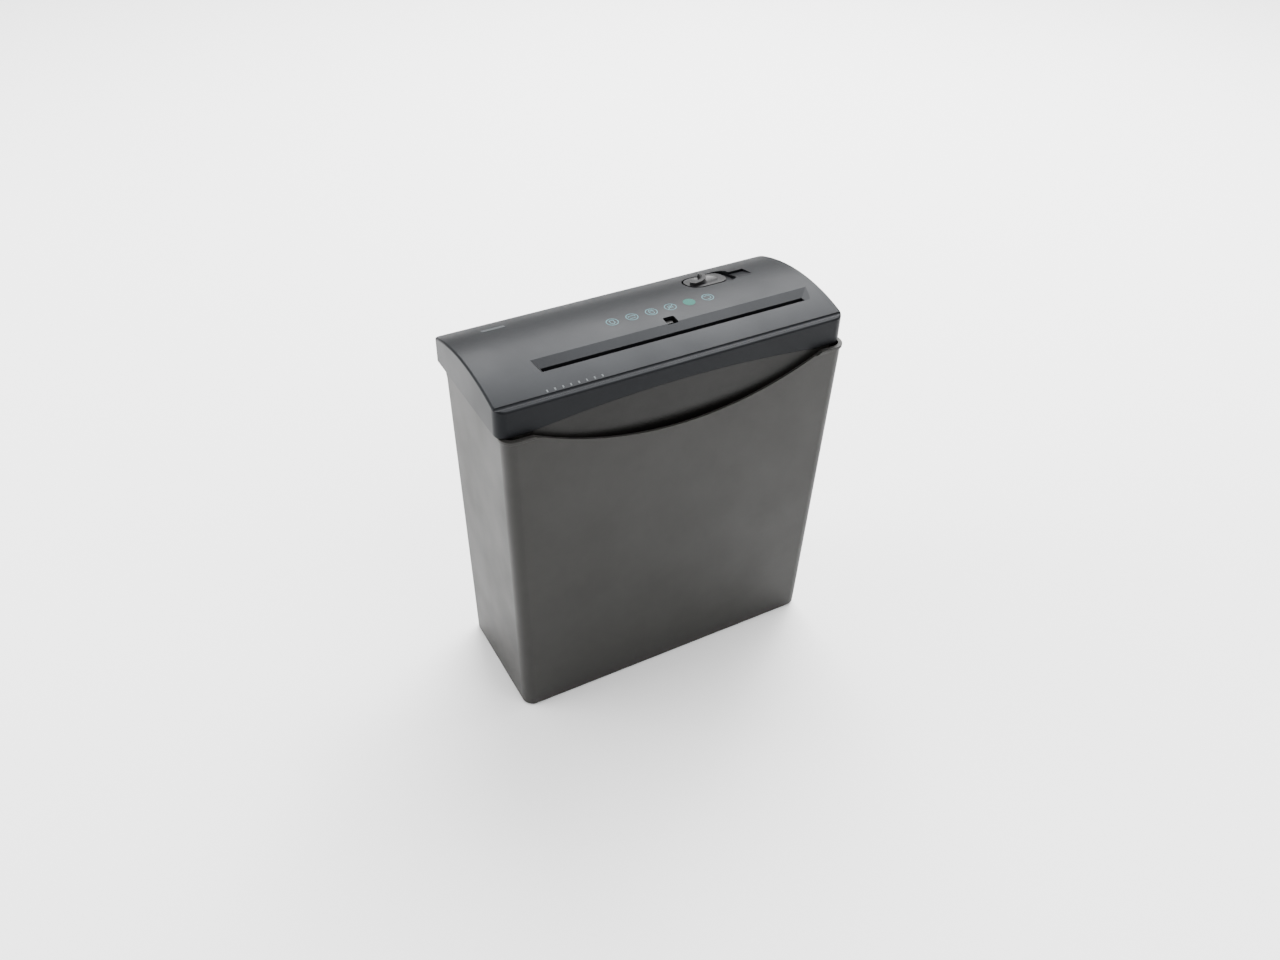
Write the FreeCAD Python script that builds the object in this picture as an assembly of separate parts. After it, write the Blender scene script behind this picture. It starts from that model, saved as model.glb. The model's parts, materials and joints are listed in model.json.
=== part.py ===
"""Strip-cut paper shredder: a motor head that stands on the rim of a waste basket.

Millimetres. X runs along the paper throat, Y towards the back, Z up.
The origin is on the floor, under the centre of the basket's rim.
Run it with FreeCAD's Python: it writes one STEP file per piece to parts/.
"""
import FreeCAD
import Part
import math
import os

V = FreeCAD.Vector
X_AXIS = V(1, 0, 0)
Y_AXIS = V(0, 1, 0)
Z_AXIS = V(0, 0, 1)

# ---------------------------------------------------------------- waste basket
BASKET_H = 275.5          # floor to rim
RIM_W = 284.0             # over the rim bead
RIM_D = 120.0
BASE_W = RIM_W - 17.0     # the walls lean in towards the base
BASE_D = RIM_D - 10.0
BASE_Y = 0.3              # centre of the base, behind the centre of the rim
BASKET_WALL = 2.0
FLARE_H = 11.0            # the back wall flares out just under the rim
FLARE_OUT = 3.6
BASKET_FLOOR = 2.8
BASKET_CORNER_R = 9.0
BASKET_FOOT_R = 3.0       # round between the floor and the walls
BEAD_OUT = 1.2            # rim bead, proud of the wall
BEAD_H = 2.6
BEAD_ROUND = 0.5
SCOOP_R = 267.0           # hand scoop in the front wall
SCOOP_DEPTH = 28.0

# ------------------------------------------------------------------ head casing
HEAD_W = RIM_W            # the head covers the rim at its sides and its back
HEAD_D = RIM_D - 6.0
HEAD_Y = 2.5              # centre of the head, behind the centre of the rim
SIDE_PLAY = 0.9           # the head rests this far to the left and the basket to the right
SKIRT_GAP = 1.2           # reveal between the rim and the cover's skirt
CROWN_H = 30.0            # skirt edge to the crown of the top
TOP_R = 160.0             # radius of the curved top
CROWN_SHIFT_Y = -3.0      # the crown is a little forward of the head's centre
COVER_WALL = 2.5
COVER_CORNER_R = 8.0
COVER_BACK_R = 4.0
COVER_EDGE_R = 1.6
ARCH_HALF = 116.0         # arch in the skirt's front edge
ARCH_H = 7.5
ARCH_GAP = 0.4
APRON_SET_BACK = 0.3      # housing's front behind the cover's front
GROOVE_FROM_FRONT = 3.9   # soft groove behind the front bead
GROOVE_R = 2.0
GROOVE_DEPTH = 0.9
TUB_WALL = 2.2            # lower housing
TUB_SIDE_GAP = 4.6        # tub wall to the basket's inner wall, at the rim
TUB_BACK_GAP = 0.8
TUB_DEPTH = 42.0          # below the rim
APRON_DROP = 11.0         # straight part of the tub's front, below the rim
APRON_LEAN = 8.5          # how far the tub's front curves in, down to its floor
FLANGE_T = 2.4
FLANGE_GAP = 0.3          # flange to the cover's skirt
LIP_INSET = 0.8           # the lip that rests on the rim, behind the skirt's face
TUB_CORNER_R = 7.0

# ---------------------------------------------------------------- paper throat
SLOT_X = 13.5             # centre of the throat
SLOT_L = 218.0
SLOT_GAP = 5.8
SLOT_BACK = 29.3          # throat's centre line, in front of the head's centre
RECESS_DEPTH = 1.8        # throat lip below the curved top
RECESS_REAR = 8.1        # rear facet, plan width
RECESS_FRONT = 0.4
RECESS_LEFT = 2.3
RECESS_RIGHT = 5.0
RECESS_FLOOR_T = 2.6
GUIDE_WALL = 1.5
GUIDE_TOP_GAP = 6.6
GUIDE_LOW_GAP = 5.2

# ----------------------------------------------------------------- cutter block
STRIP_W = 6.0             # width of a shredded strip
DISC_T = STRIP_W - 0.4
DISC_R = 14.5
DISC_NOTCHES = 12
NOTCH_R = 1.5
FRONT_DISCS = int(SLOT_L / (2 * STRIP_W)) + 1
REAR_DISCS = FRONT_DISCS - 1
SPACER_R = 8.5
HEX_AF = 10.0             # cutter shafts, across flats
HEX_FIT = 0.1
JOURNAL_R = 4.0
RUN_FIT = 0.05            # radial clearance of every running fit
NIP_Y = -22.0             # midway between the two shafts
SHAFT_DROP = 13.5         # cutter shafts, below the rim
FINGER_T = STRIP_W - 0.6
FINGER_GAP = 0.8
FINGER_R = 15.8
COMB_BAR_GAP = 0.7
COMB_BAR_T = 3.4
PLATE_T = 2.0
PLATE_CLEAR = 3.2         # outermost disc to the side plates
BUSH_R = JOURNAL_R + 1.6
BUSH_FLANGE_R = JOURNAL_R + 3.0
BUSH_FLANGE_T = 1.0
ROD_R = 3.0
CLIP_T = 0.8
CLIP_R = JOURNAL_R + 2.0

# ------------------------------------------------------------------ gear train
PRESSURE = math.radians(20)
SYNC_M, SYNC_Z, SYNC_T = 1.0, 24, 5.0     # these two gears set the shafts' spacing
FINAL_M, FINAL_Z, FINAL_PINION_Z, FINAL_T = 1.0, 46, 12, 7.0
MID_M, MID_Z, MID_PINION_Z, MID_T = 0.8, 45, 12, 5.0
MOTOR_M, MOTOR_Z, MOTOR_PINION_Z, MOTOR_T = 0.6, 42, 12, 4.5
PINION_EXTRA = 0.5        # a pinion is this much wider than its wheel, each side
BACKLASH = 0.16           # share of the module
WHEEL_ADDENDUM = 0.75
PINION_ADDENDUM = 1.0
LAYER_GAP = 2.0           # between the gear layers
FIRST_LAYER_GAP = 2.5     # side plate to the first layer
SECOND_ANGLE = 10.0       # direction from the rear shaft to the second gear
PIN_R = 2.5
COVER_PLATE_T = 1.6
STANDOFF_R = 2.5

# ----------------------------------------------------------------------- motor
MOTOR_Y = 29.8
MOTOR_UP = 4.0            # above the cutter shafts
CAN_R = 19.5
CAN_T = 1.4
CAN_L = 50.0
CAP_L = 6.0
ARMATURE_R = 13.4
ARMATURE_L = 28.0
ARMATURE_SLOTS = 5
MAGNET_IN_R = 14.2
COMMUTATOR_R = 5.0
COMMUTATOR_L = 4.2
FAN_R = 16.0
FAN_L = 6.0
FAN_BLADES = 8
MOTOR_SHAFT_R = 2.5
MOTOR_SCREW_OUT = 8.0

# ---------------------------------------------------------- slide switch, sensor
KNOB_LEFT = 53.3
KNOB_L = 33.2
KNOB_FRONT = 18.4         # behind the head's centre
KNOB_W = 22.2
KNOB_END_R = 10.3         # round left end; the right end is squarer
KNOB_RIGHT_R = 8.3
KNOB_PROUD = 0.0
KNOB_T = 3.2
KNOB_DISH = 1.5           # the thumb dish in its top
KNOB_GAP = 1.5
KNOB_TRAVEL = 6.0
POCKET_DEPTH = 3.5
POCKET_FLOOR_T = 1.8
GRIP_R = 17.0             # the curved, ribbed ridge across the knob
GRIP_W = 4.2
GRIP_H = 2.6
GRIP_NOTCHES = 8
TRACK_L = 13.0            # finger run to the right of the knob's pocket
TRACK_FRONT = 19.5        # behind the head's centre
TRACK_W = 13.5
TRACK_DEPTH = 2.0         # at its back; it fades out at its front
STEM_L = 7.0
STEM_W = 3.4
STEM_GAP = 0.4
SWITCH_L = 40.0
SWITCH_W = 13.0
SWITCH_H = 11.0
WELL_X = 14.1
WELL_L = 9.2
WELL_W = 8.5
WELL_BACK = -15.1         # centre of the sensor well, from the head's centre
LEVER_Y = -8.5
LEVER_UP = 16.0           # the lever's pin, above the rim
LEVER_T = 5.0
LEVER_HUB_R = 3.0
LEVER_PIN_R = 1.25
LEVER_ARM_T = 2.0
LEVER_REACH_Y = 15.8
LEVER_REACH_Z = 8.0
FLAG_T = 3.2              # the lever's upper finger, seen in the well
FLAG_H = 12.0
TAIL_ARM = 3.5
EYE_R = 0.9
TAIL_GAP = 0.3

# --------------------------------------------------------------- small hardware
TOWER_R = 4.6
SCREW_R = 1.5
SCREW_HEAD_R = 2.8
SCREW_HEAD_H = 1.9
SCREW_L = 14.0
GLAND_X = -92.0
GLAND_BORE_R = 3.6
GLAND_R = 6.0
GLAND_FLANGE_R = 7.2
GLAND_IN = 8.0
GLAND_PROUD = 0.5
BOARD_L = 62.0
BOARD_W = 30.0
BOARD_T = 1.6
LEAD_R = 0.9
LEAD_BACK = 5.0           # straight run into a terminal

# ------------------------------------------------- places worked out from those
RIM_Z = BASKET_H
FLARE_Z = BASKET_H - FLARE_H
SHAFT_Z = RIM_Z - SHAFT_DROP
LEVER_Z = RIM_Z + LEVER_UP
SKIRT_Z = RIM_Z + SKIRT_GAP
CROWN_Z = SKIRT_Z + CROWN_H
CROWN_Y = HEAD_Y + CROWN_SHIFT_Y
HEAD_FRONT = HEAD_Y - HEAD_D / 2
HEAD_BACK = HEAD_Y + HEAD_D / 2
WALL_TOP_W = RIM_W - 2 * BEAD_OUT
WALL_TOP_D = RIM_D - 2 * BEAD_OUT
RIM_IN_X = WALL_TOP_W / 2 - BASKET_WALL
RIM_IN_BACK = WALL_TOP_D / 2 - BASKET_WALL
TUB_X = RIM_IN_X - TUB_SIDE_GAP
TUB_FRONT = HEAD_FRONT + APRON_SET_BACK
TUB_BACK = RIM_IN_BACK - FLARE_OUT - TUB_BACK_GAP
TUB_Z = RIM_Z - TUB_DEPTH
FLOOR_Z = TUB_Z + TUB_WALL
SLOT_Y = HEAD_Y - SLOT_BACK
SHAFT_SPACING = SYNC_M * SYNC_Z
SLOT_LEFT = SLOT_X - SLOT_L / 2
SLOT_RIGHT = SLOT_X + SLOT_L / 2
FRONT_SHAFT_Y = NIP_Y - SHAFT_SPACING / 2
REAR_SHAFT_Y = NIP_Y + SHAFT_SPACING / 2
DISC_PITCH = 2 * STRIP_W
BLOCK_LEFT = SLOT_X - STRIP_W * (FRONT_DISCS - 1) - DISC_T / 2
BLOCK_RIGHT = SLOT_X + STRIP_W * (FRONT_DISCS - 1) + DISC_T / 2
LEFT_PLATE_X = BLOCK_LEFT - PLATE_CLEAR          # its inner face
RIGHT_PLATE_X = BLOCK_RIGHT + PLATE_CLEAR
PLATE_OUT_X = LEFT_PLATE_X - PLATE_T             # the gear side
SYNC_X = PLATE_OUT_X - FIRST_LAYER_GAP           # right faces of the gear layers
MID_X = SYNC_X - SYNC_T - LAYER_GAP
FINAL_X = MID_X - MID_T - LAYER_GAP
COVER_PLATE_X = FINAL_X - FINAL_T - LAYER_GAP
MOTOR_Z_POS = SHAFT_Z + MOTOR_UP
KNOB_X = KNOB_LEFT + KNOB_L / 2
KNOB_Y = HEAD_Y + KNOB_FRONT + KNOB_W / 2
ARCH_R = (ARCH_HALF ** 2 + ARCH_H ** 2) / (2 * ARCH_H)
WELL_Y = HEAD_Y + WELL_BACK


# ------------------------------------------------------------- building helpers
def box(x0, x1, y0, y1, z0, z1):
    """A block between two corners."""
    return Part.makeBox(x1 - x0, y1 - y0, z1 - z0, V(x0, y0, z0))


def rod(radius, x0, x1, y, z):
    """A cylinder along X."""
    return Part.makeCylinder(radius, x1 - x0, V(x0, y, z), X_AXIS)


def ring(outer, inner, x0, x1, y, z):
    """A tube along X."""
    return rod(outer, x0, x1, y, z).cut(rod(inner, x0 - 1, x1 + 1, y, z))


def post(radius, x, y, z0, z1):
    """A cylinder along Z."""
    return Part.makeCylinder(radius, z1 - z0, V(x, y, z0), Z_AXIS)


def joined(shapes):
    """One solid out of several that touch or overlap."""
    return shapes[0].fuse(shapes[1:]).removeSplitter()


def group(shapes):
    """Separate solids that share one node."""
    return Part.makeCompound(shapes)


def rounded_wire(width, depth, radius, cy, z):
    """A rectangle with round corners, in the plane at height z, centred on x = 0."""
    hw = width / 2
    hd = depth / 2
    edges = []
    corners = ((1, -1, -90), (1, 1, 0), (-1, 1, 90), (-1, -1, 180))
    ends = []
    for sx, sy, start in corners:
        centre = V(sx * (hw - radius), cy + sy * (hd - radius), z)
        points = []
        for angle in (start, start + 45, start + 90):
            a = math.radians(angle)
            points.append(centre + V(radius * math.cos(a), radius * math.sin(a), 0))
        ends.append(points)
    for i, points in enumerate(ends):
        edges.append(Part.Arc(*points).toShape())
        edges.append(Part.makeLine(points[2], ends[(i + 1) % 4][0]))
    return Part.Wire(edges)


def prism(width, depth, radius, cy, z0, z1):
    """A block with round vertical corners."""
    face = Part.Face(rounded_wire(width, depth, radius, cy, z0))
    return face.extrude(V(0, 0, z1 - z0))


def outline_prism(points, x0, x1):
    """A polygon of (y, z) points, extruded along X."""
    ring_points = [V(x0, y, z) for y, z in points]
    wire = Part.makePolygon(ring_points + ring_points[:1])
    return Part.Face(wire).extrude(V(x1 - x0, 0, 0))


def hexagon(across_flats, x0, x1, y, z):
    """A hexagonal bar along X."""
    radius = across_flats / math.sqrt(3)
    angles = [math.radians(60 * k) for k in range(6)]
    points = [(y + radius * math.cos(a), z + radius * math.sin(a)) for a in angles]
    return outline_prism(points, x0, x1)


def sector(outer, inner, x0, x1, y, z, start, end):
    """Part of a tube along X, from one angle to another; angles run from +Y to +Z."""
    frame = Part.makeCylinder(outer, x1 - x0, V(0, 0, 0), Z_AXIS, end - start)
    frame = frame.cut(Part.makeCylinder(inner, x1 - x0 + 2, V(0, 0, -1), Z_AXIS))
    frame.rotate(V(0, 0, 0), Z_AXIS, start)
    frame.rotate(V(0, 0, 0), V(1, 1, 1), 120)    # Z to X, X to Y, Y to Z
    frame.translate(V(x0, y, z))
    return frame


def top_z(y, inset=0.0):
    """Height of the curved top at y, or of a surface that runs inset below it."""
    reach = (TOP_R - inset) ** 2 - (y - CROWN_Y) ** 2
    return CROWN_Z - TOP_R + math.sqrt(reach)


def lead(points, radius):
    """A thin wire along straight runs joined by tangent arcs, each 0.45 of its shorter run."""
    path = []
    start = points[0]
    for before, corner, after in zip(points, points[1:], points[2:]):
        into = (corner - before).normalize()
        out = (after - corner).normalize()
        trim = 0.45 * min((corner - before).Length, (after - corner).Length)
        a = corner - into * trim
        b = corner + out * trim
        half_turn = into.getAngle(out) / 2
        bisector = (out - into).normalize()
        arc_radius = trim / math.tan(half_turn)
        middle = corner + bisector * (arc_radius / math.cos(half_turn) - arc_radius)
        path.append(Part.makeLine(start, a))
        path.append(Part.Arc(a, middle, b).toShape())
        start = b
    path.append(Part.makeLine(start, points[-1]))
    wire = Part.Wire(path)
    circle = Part.Wire(Part.Circle(points[0], points[1] - points[0], radius).toShape())
    return wire.makePipeShell([circle], True, False)


# ---------------------------------------------------------------- waste basket
def wall_size(z, inset=0.0):
    """Width, depth, corner radius and centre of the basket's wall at height z."""
    share = z / BASKET_H
    flare = FLARE_OUT * max(0.0, (z - FLARE_Z) / FLARE_H)
    width = BASE_W + (WALL_TOP_W - BASE_W) * share
    front = -WALL_TOP_D / 2 * share + (BASE_Y - BASE_D / 2) * (1 - share)
    upright = WALL_TOP_D / 2 - FLARE_OUT
    back = upright * share + (BASE_Y + BASE_D / 2) * (1 - share) + flare
    centre = (front + back) / 2
    return width - 2 * inset, back - front - 2 * inset, BASKET_CORNER_R - inset, centre


def wall_loft(levels, inset):
    """The tapered block through rounded rectangles at the given heights."""
    wires = []
    for z in levels:
        width, depth, radius, cy = wall_size(z, inset)
        wires.append(rounded_wire(width, depth, radius, cy, z))
    return Part.makeLoft(wires, True, True)


def waste_basket():
    outer = wall_loft([0, FLARE_Z, BASKET_H], 0)
    foot = [e for e in outer.Edges if e.BoundBox.ZMax < 0.01]
    outer = outer.makeFillet(BASKET_FOOT_R, foot)
    bead = prism(RIM_W, RIM_D, BASKET_CORNER_R + BEAD_OUT, 0, RIM_Z - BEAD_H, RIM_Z)
    flat = [e for e in bead.Edges if e.BoundBox.ZLength < 0.01]
    bead = bead.makeFillet(BEAD_ROUND, flat)
    inside = wall_loft([BASKET_FLOOR, FLARE_Z, BASKET_H + 1], BASKET_WALL)
    basket = outer.fuse(bead).cut(inside)
    front = -RIM_D / 2
    centre = V(0, front - 1, RIM_Z - SCOOP_DEPTH + SCOOP_R)
    scoop = Part.makeCylinder(SCOOP_R, BASKET_CORNER_R, centre, Y_AXIS)
    return basket.cut(scoop).removeSplitter()


# ------------------------------------------------------------------ head casing
def cover_block(inset, z0):
    """The cover's outer form, or the hollow inside it, down to z0."""
    front = HEAD_FRONT + inset
    back = HEAD_BACK - inset
    left = -HEAD_W / 2 + inset
    a = V(left, back, top_z(back, inset))
    b = V(left, CROWN_Y, top_z(CROWN_Y, inset))
    c = V(left, front, top_z(front, inset))
    foot_front = V(left, front, z0)
    foot_back = V(left, back, z0)
    edges = [
        Part.makeLine(foot_back, a),
        Part.Arc(a, b, c).toShape(),
        Part.makeLine(c, foot_front),
        Part.makeLine(foot_front, foot_back),
    ]
    block = Part.Face(Part.Wire(edges)).extrude(V(HEAD_W - 2 * inset, 0, 0))
    upright = [e for e in block.Edges if e.BoundBox.XLength < 0.01 and e.BoundBox.YLength < 0.01]
    front_edges = [e for e in upright if e.CenterOfMass.y < 0]
    block = block.makeFillet(COVER_CORNER_R - inset, front_edges)
    return round_back(block, COVER_BACK_R - inset)


def round_back(block, radius):
    """Round the two upright back edges."""
    def is_back(edge):
        bounds = edge.BoundBox
        return bounds.XLength < 0.01 and bounds.YLength < 0.01 and bounds.YMin > HEAD_Y + HEAD_D / 4

    return block.makeFillet(radius, [e for e in block.Edges if is_back(e)])


def arch(gap, y0, y1):
    """The round-topped solid whose upper edge is the arch in the skirt's front."""
    centre = V(0, y0, SKIRT_Z + ARCH_H - ARCH_R)
    barrel = Part.makeCylinder(ARCH_R - gap, y1 - y0, centre, Y_AXIS)
    return barrel.common(box(-ARCH_HALF + gap, ARCH_HALF - gap, y0, y1, RIM_Z - 1, SKIRT_Z + ARCH_H + 1))


def recess_cut():
    """The shallow dish that leads paper into the throat: a floor and four sloped facets."""
    lip_z = top_z(SLOT_Y) - RECESS_DEPTH
    top = CROWN_Z + 2
    rise = (top - lip_z) / RECESS_DEPTH
    back = SLOT_Y + SLOT_GAP / 2
    front = SLOT_Y - SLOT_GAP / 2
    rear_rise = top_z(back + RECESS_REAR) - lip_z
    rear = RECESS_REAR * (top - lip_z) / rear_rise
    low = [(SLOT_LEFT, front), (SLOT_RIGHT, front), (SLOT_RIGHT, back), (SLOT_LEFT, back)]
    high = [
        (SLOT_LEFT - RECESS_LEFT * rise, front - RECESS_FRONT * rise),
        (SLOT_RIGHT + RECESS_RIGHT * rise, front - RECESS_FRONT * rise),
        (SLOT_RIGHT + RECESS_RIGHT * rise, back + rear),
        (SLOT_LEFT - RECESS_LEFT * rise, back + rear),
    ]
    wires = []
    for corners, z in ((low, lip_z), (high, top)):
        points = [V(x, y, z) for x, y in corners]
        wires.append(Part.makePolygon(points + points[:1]))
    dish = Part.makeLoft(wires, True, True)
    slot = box(SLOT_LEFT, SLOT_RIGHT, front, back, SKIRT_Z, lip_z + 1)
    return dish.fuse(slot)


def recess_floor_z():
    """Underside of the thick band that carries the throat."""
    return top_z(SLOT_Y) - RECESS_DEPTH - RECESS_FLOOR_T


def under_top(depth):
    """The barrel under the curved top whose surface is the given depth below it."""
    return rod(TOP_R - depth, -HEAD_W, HEAD_W, CROWN_Y, CROWN_Z - TOP_R)


def knob_plan(extra, reach, z0, z1):
    """The knob's outline as a block, grown by extra all round and by reach to the right."""
    x0 = KNOB_LEFT - extra
    x1 = KNOB_LEFT + KNOB_L + reach + extra
    y0 = KNOB_Y - KNOB_W / 2 - extra
    y1 = KNOB_Y + KNOB_W / 2 + extra
    block = box(x0, x1, y0, y1, z0, z1)
    for x, radius in ((x0, KNOB_END_R + extra), (x1, KNOB_RIGHT_R - reach / 2 + extra)):
        edges = [e for e in block.Edges if e.BoundBox.XLength + e.BoundBox.YLength < 0.01]
        block = block.makeFillet(radius, [e for e in edges if abs(e.CenterOfMass.x - x) < 0.01])
    return block


def thick_bands(outer):
    """Local thickening under the throat recess and under the switch track."""
    throat = box(
        SLOT_LEFT - 3 * RECESS_LEFT,
        SLOT_RIGHT + 1.4 * RECESS_RIGHT,
        SLOT_Y - SLOT_GAP - 4,
        SLOT_Y + SLOT_GAP + RECESS_REAR + 2,
        recess_floor_z(),
        CROWN_Z,
    )
    pocket = knob_plan(KNOB_GAP + 2, KNOB_TRAVEL, SKIRT_Z, CROWN_Z + 1)
    pocket = pocket.cut(under_top(POCKET_DEPTH + POCKET_FLOOR_T))
    track = box(
        pocket_right() - 2,
        pocket_right() + TRACK_L + 2,
        HEAD_Y + TRACK_FRONT - 1,
        HEAD_Y + TRACK_FRONT + TRACK_W + 2,
        SKIRT_Z,
        CROWN_Z + 1,
    )
    track = track.cut(under_top(TRACK_DEPTH + POCKET_FLOOR_T))
    return [throat.common(outer), pocket.common(outer), track.common(outer)]


def pocket_right():
    return KNOB_LEFT + KNOB_L + KNOB_TRAVEL + KNOB_GAP


def track_cuts():
    """The knob's pocket, the finger run beside it and the slot for the knob's stem."""
    pocket = knob_plan(KNOB_GAP, KNOB_TRAVEL, SKIRT_Z, CROWN_Z + 5).cut(under_top(POCKET_DEPTH))
    y0 = HEAD_Y + TRACK_FRONT
    y1 = y0 + TRACK_W
    points = [(y0, top_z(y0)), (y0, CROWN_Z + 5), (y1, CROWN_Z + 5), (y1, top_z(y1) - TRACK_DEPTH)]
    run = outline_prism(points, pocket_right() - 1, pocket_right() + TRACK_L)
    stem = box(
        KNOB_X - STEM_L / 2 - STEM_GAP,
        KNOB_X + STEM_L / 2 + KNOB_TRAVEL + STEM_GAP,
        KNOB_Y - STEM_W / 2 - STEM_GAP,
        KNOB_Y + STEM_W / 2 + STEM_GAP,
        switch_top(),
        CROWN_Z,
    )
    return [pocket, run, stem]


def well_cut():
    """The window over the paper sensor's lever."""
    well = box(
        WELL_X - WELL_L / 2,
        WELL_X + WELL_L / 2,
        WELL_Y - WELL_W / 2,
        WELL_Y + WELL_W / 2,
        recess_floor_z() - 1,
        CROWN_Z + 1,
    )
    upright = [e for e in well.Edges if e.BoundBox.XLength < 0.01 and e.BoundBox.YLength < 0.01]
    return well.makeFillet(1.4, upright)


def tower_places():
    """Where screws hold the two halves of the casing together."""
    inner_x = TUB_X - TUB_WALL
    inner_back = TUB_BACK - TUB_WALL
    left_x = -inner_x + TOWER_R + 0.6
    right_x = inner_x - TOWER_R - 4
    back_y = inner_back - TOWER_R + 0.4
    return [
        (left_x, TUB_FRONT + TUB_WALL + TOWER_R + 1.0),
        (right_x, REAR_SHAFT_Y + DISC_R + TOWER_R + 8),
        (right_x, back_y),
        (motor_cap_x() + FAN_L + TOWER_R + 8, back_y),
    ]


def gland_z():
    return SKIRT_Z + GLAND_FLANGE_R + 1.2


def top_cover():
    outer = cover_block(0, SKIRT_Z)
    edge = [e for e in outer.Edges if e.BoundBox.ZMin > SKIRT_Z + 5]
    outer = outer.makeFillet(COVER_EDGE_R, edge)
    shell = outer.cut(cover_block(COVER_WALL, SKIRT_Z - 1))
    bosses = []
    for x, y in tower_places():
        boss = post(TOWER_R - 0.6, x, y, SKIRT_Z, CROWN_Z).common(outer)
        bosses.append(boss)
    cover = shell.fuse(thick_bands(outer) + bosses)
    groove_y = HEAD_FRONT + GROOVE_FROM_FRONT
    groove_z = top_z(groove_y) + GROOVE_R - GROOVE_DEPTH
    cuts = [rod(GROOVE_R, -HEAD_W, HEAD_W, groove_y, groove_z), recess_cut(), well_cut()]
    cuts += track_cuts()
    cuts.append(arch(0, HEAD_FRONT - 1, TUB_FRONT + TUB_WALL + ARCH_GAP))
    cuts += [post(SCREW_R, x, y, SKIRT_Z - 1, SKIRT_Z + SCREW_L) for x, y in tower_places()]
    gland = V(GLAND_X, HEAD_BACK - COVER_WALL - 1, gland_z())
    cuts.append(Part.makeCylinder(GLAND_R, COVER_WALL + 2, gland, Y_AXIS))
    seat = V(GLAND_X, HEAD_BACK - 1, gland_z())
    cuts.append(Part.makeCylinder(GLAND_FLANGE_R, 2, seat, Y_AXIS))
    for tool in cuts:
        cover = cover.cut(tool)
    return cover.removeSplitter()


def apron_y(z, inset=0.0):
    """The tub's front at height z: upright, then curving in below the knee."""
    knee = RIM_Z - APRON_DROP
    if z >= knee:
        return TUB_FRONT + inset
    radius = apron_radius()
    return TUB_FRONT + radius - math.sqrt((radius - inset) ** 2 - (knee - z) ** 2)


def apron_radius():
    drop = TUB_DEPTH - APRON_DROP
    return (drop ** 2 + APRON_LEAN ** 2) / (2 * APRON_LEAN)


def tub_block(inset, top):
    """The tub's outer form, or the hollow inside it: upright back, curved front."""
    low = TUB_Z + inset
    knee = RIM_Z - APRON_DROP
    x0 = -TUB_X + inset
    back = TUB_BACK - inset
    a = V(x0, apron_y(knee, inset), knee)
    b = V(x0, apron_y((knee + low) / 2, inset), (knee + low) / 2)
    c = V(x0, apron_y(low, inset), low)
    high_front = V(x0, a.y, top)
    high_back = V(x0, back, top)
    low_back = V(x0, back, low)
    edges = [
        Part.makeLine(high_front, a),
        Part.Arc(a, b, c).toShape(),
        Part.makeLine(c, low_back),
        Part.makeLine(low_back, high_back),
        Part.makeLine(high_back, high_front),
    ]
    block = Part.Face(Part.Wire(edges)).extrude(V(2 * (TUB_X - inset), 0, 0))
    depth = TUB_BACK - TUB_FRONT - 2 * inset
    centre = (TUB_BACK + TUB_FRONT) / 2
    plan = prism(2 * (TUB_X - inset), depth, TUB_CORNER_R - inset, centre, TUB_Z - 1, top + 1)
    return block.common(plan)


def strip_exit():
    """The opening under the cutters that lets the strips fall."""
    return box(
        BLOCK_LEFT,
        BLOCK_RIGHT,
        FRONT_SHAFT_Y - 6,
        REAR_SHAFT_Y + 6,
        TUB_Z - 1,
        FLOOR_Z + 1,
    )


def lower_housing():
    outer = tub_block(0, RIM_Z)
    skirt_in = COVER_WALL + FLANGE_GAP
    parts = []
    for inset, z1 in ((LIP_INSET, SKIRT_Z), (skirt_in, RIM_Z + FLANGE_T)):
        width = HEAD_W - 2 * inset
        depth = HEAD_D - 2 * inset
        parts.append(prism(width, depth, COVER_CORNER_R - inset, HEAD_Y, RIM_Z, z1))
    apron = arch(ARCH_GAP, TUB_FRONT, TUB_FRONT + TUB_WALL)
    body = outer.fuse(parts + [apron])
    body = body.cut(tub_block(TUB_WALL, RIM_Z + FLANGE_T + 1))
    towers = []
    holes = []
    for x, y in tower_places():
        towers.append(post(TOWER_R, x, y, FLOOR_Z - 0.5, SKIRT_Z))
        holes.append(post(SCREW_R + 0.2, x, y, TUB_Z - 1, SKIRT_Z + 1))
        holes.append(post(SCREW_HEAD_R + 0.4, x, y, TUB_Z - 1, SKIRT_Z - 4))
    body = body.fuse(towers)
    body = body.cut(holes + [strip_exit()])
    rails = []
    for x0, x1 in ((PLATE_OUT_X, LEFT_PLATE_X), (RIGHT_PLATE_X, RIGHT_PLATE_X + PLATE_T)):
        for y in (FRONT_SHAFT_Y, REAR_SHAFT_Y + 6):
            rails.append(box(x0 - 1.2, x1 + 1.2, y - 3, y + 3, FLOOR_Z - 0.5, FLOOR_Z + 3.4))
            rails[-1] = rails[-1].cut(box(x0 - 0.1, x1 + 0.1, y - 4, y + 4, plate_z0(), FLOOR_Z + 9))
    return body.fuse(rails).removeSplitter()


def housing_screws():
    screws = []
    for x, y in tower_places():
        seat = SKIRT_Z - 4
        shank = post(SCREW_R - 0.05, x, y, seat, seat + SCREW_L)
        head = post(SCREW_HEAD_R, x, y, seat - SCREW_HEAD_H, seat)
        cross = box(x - 1.6, x + 1.6, y - 0.3, y + 0.3, seat - SCREW_HEAD_H - 1, seat - 0.8)
        other = box(x - 0.3, x + 0.3, y - 1.6, y + 1.6, seat - SCREW_HEAD_H - 1, seat - 0.8)
        screws.append(shank.fuse(head).cut([cross, other]).removeSplitter())
    return group(screws)


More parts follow.
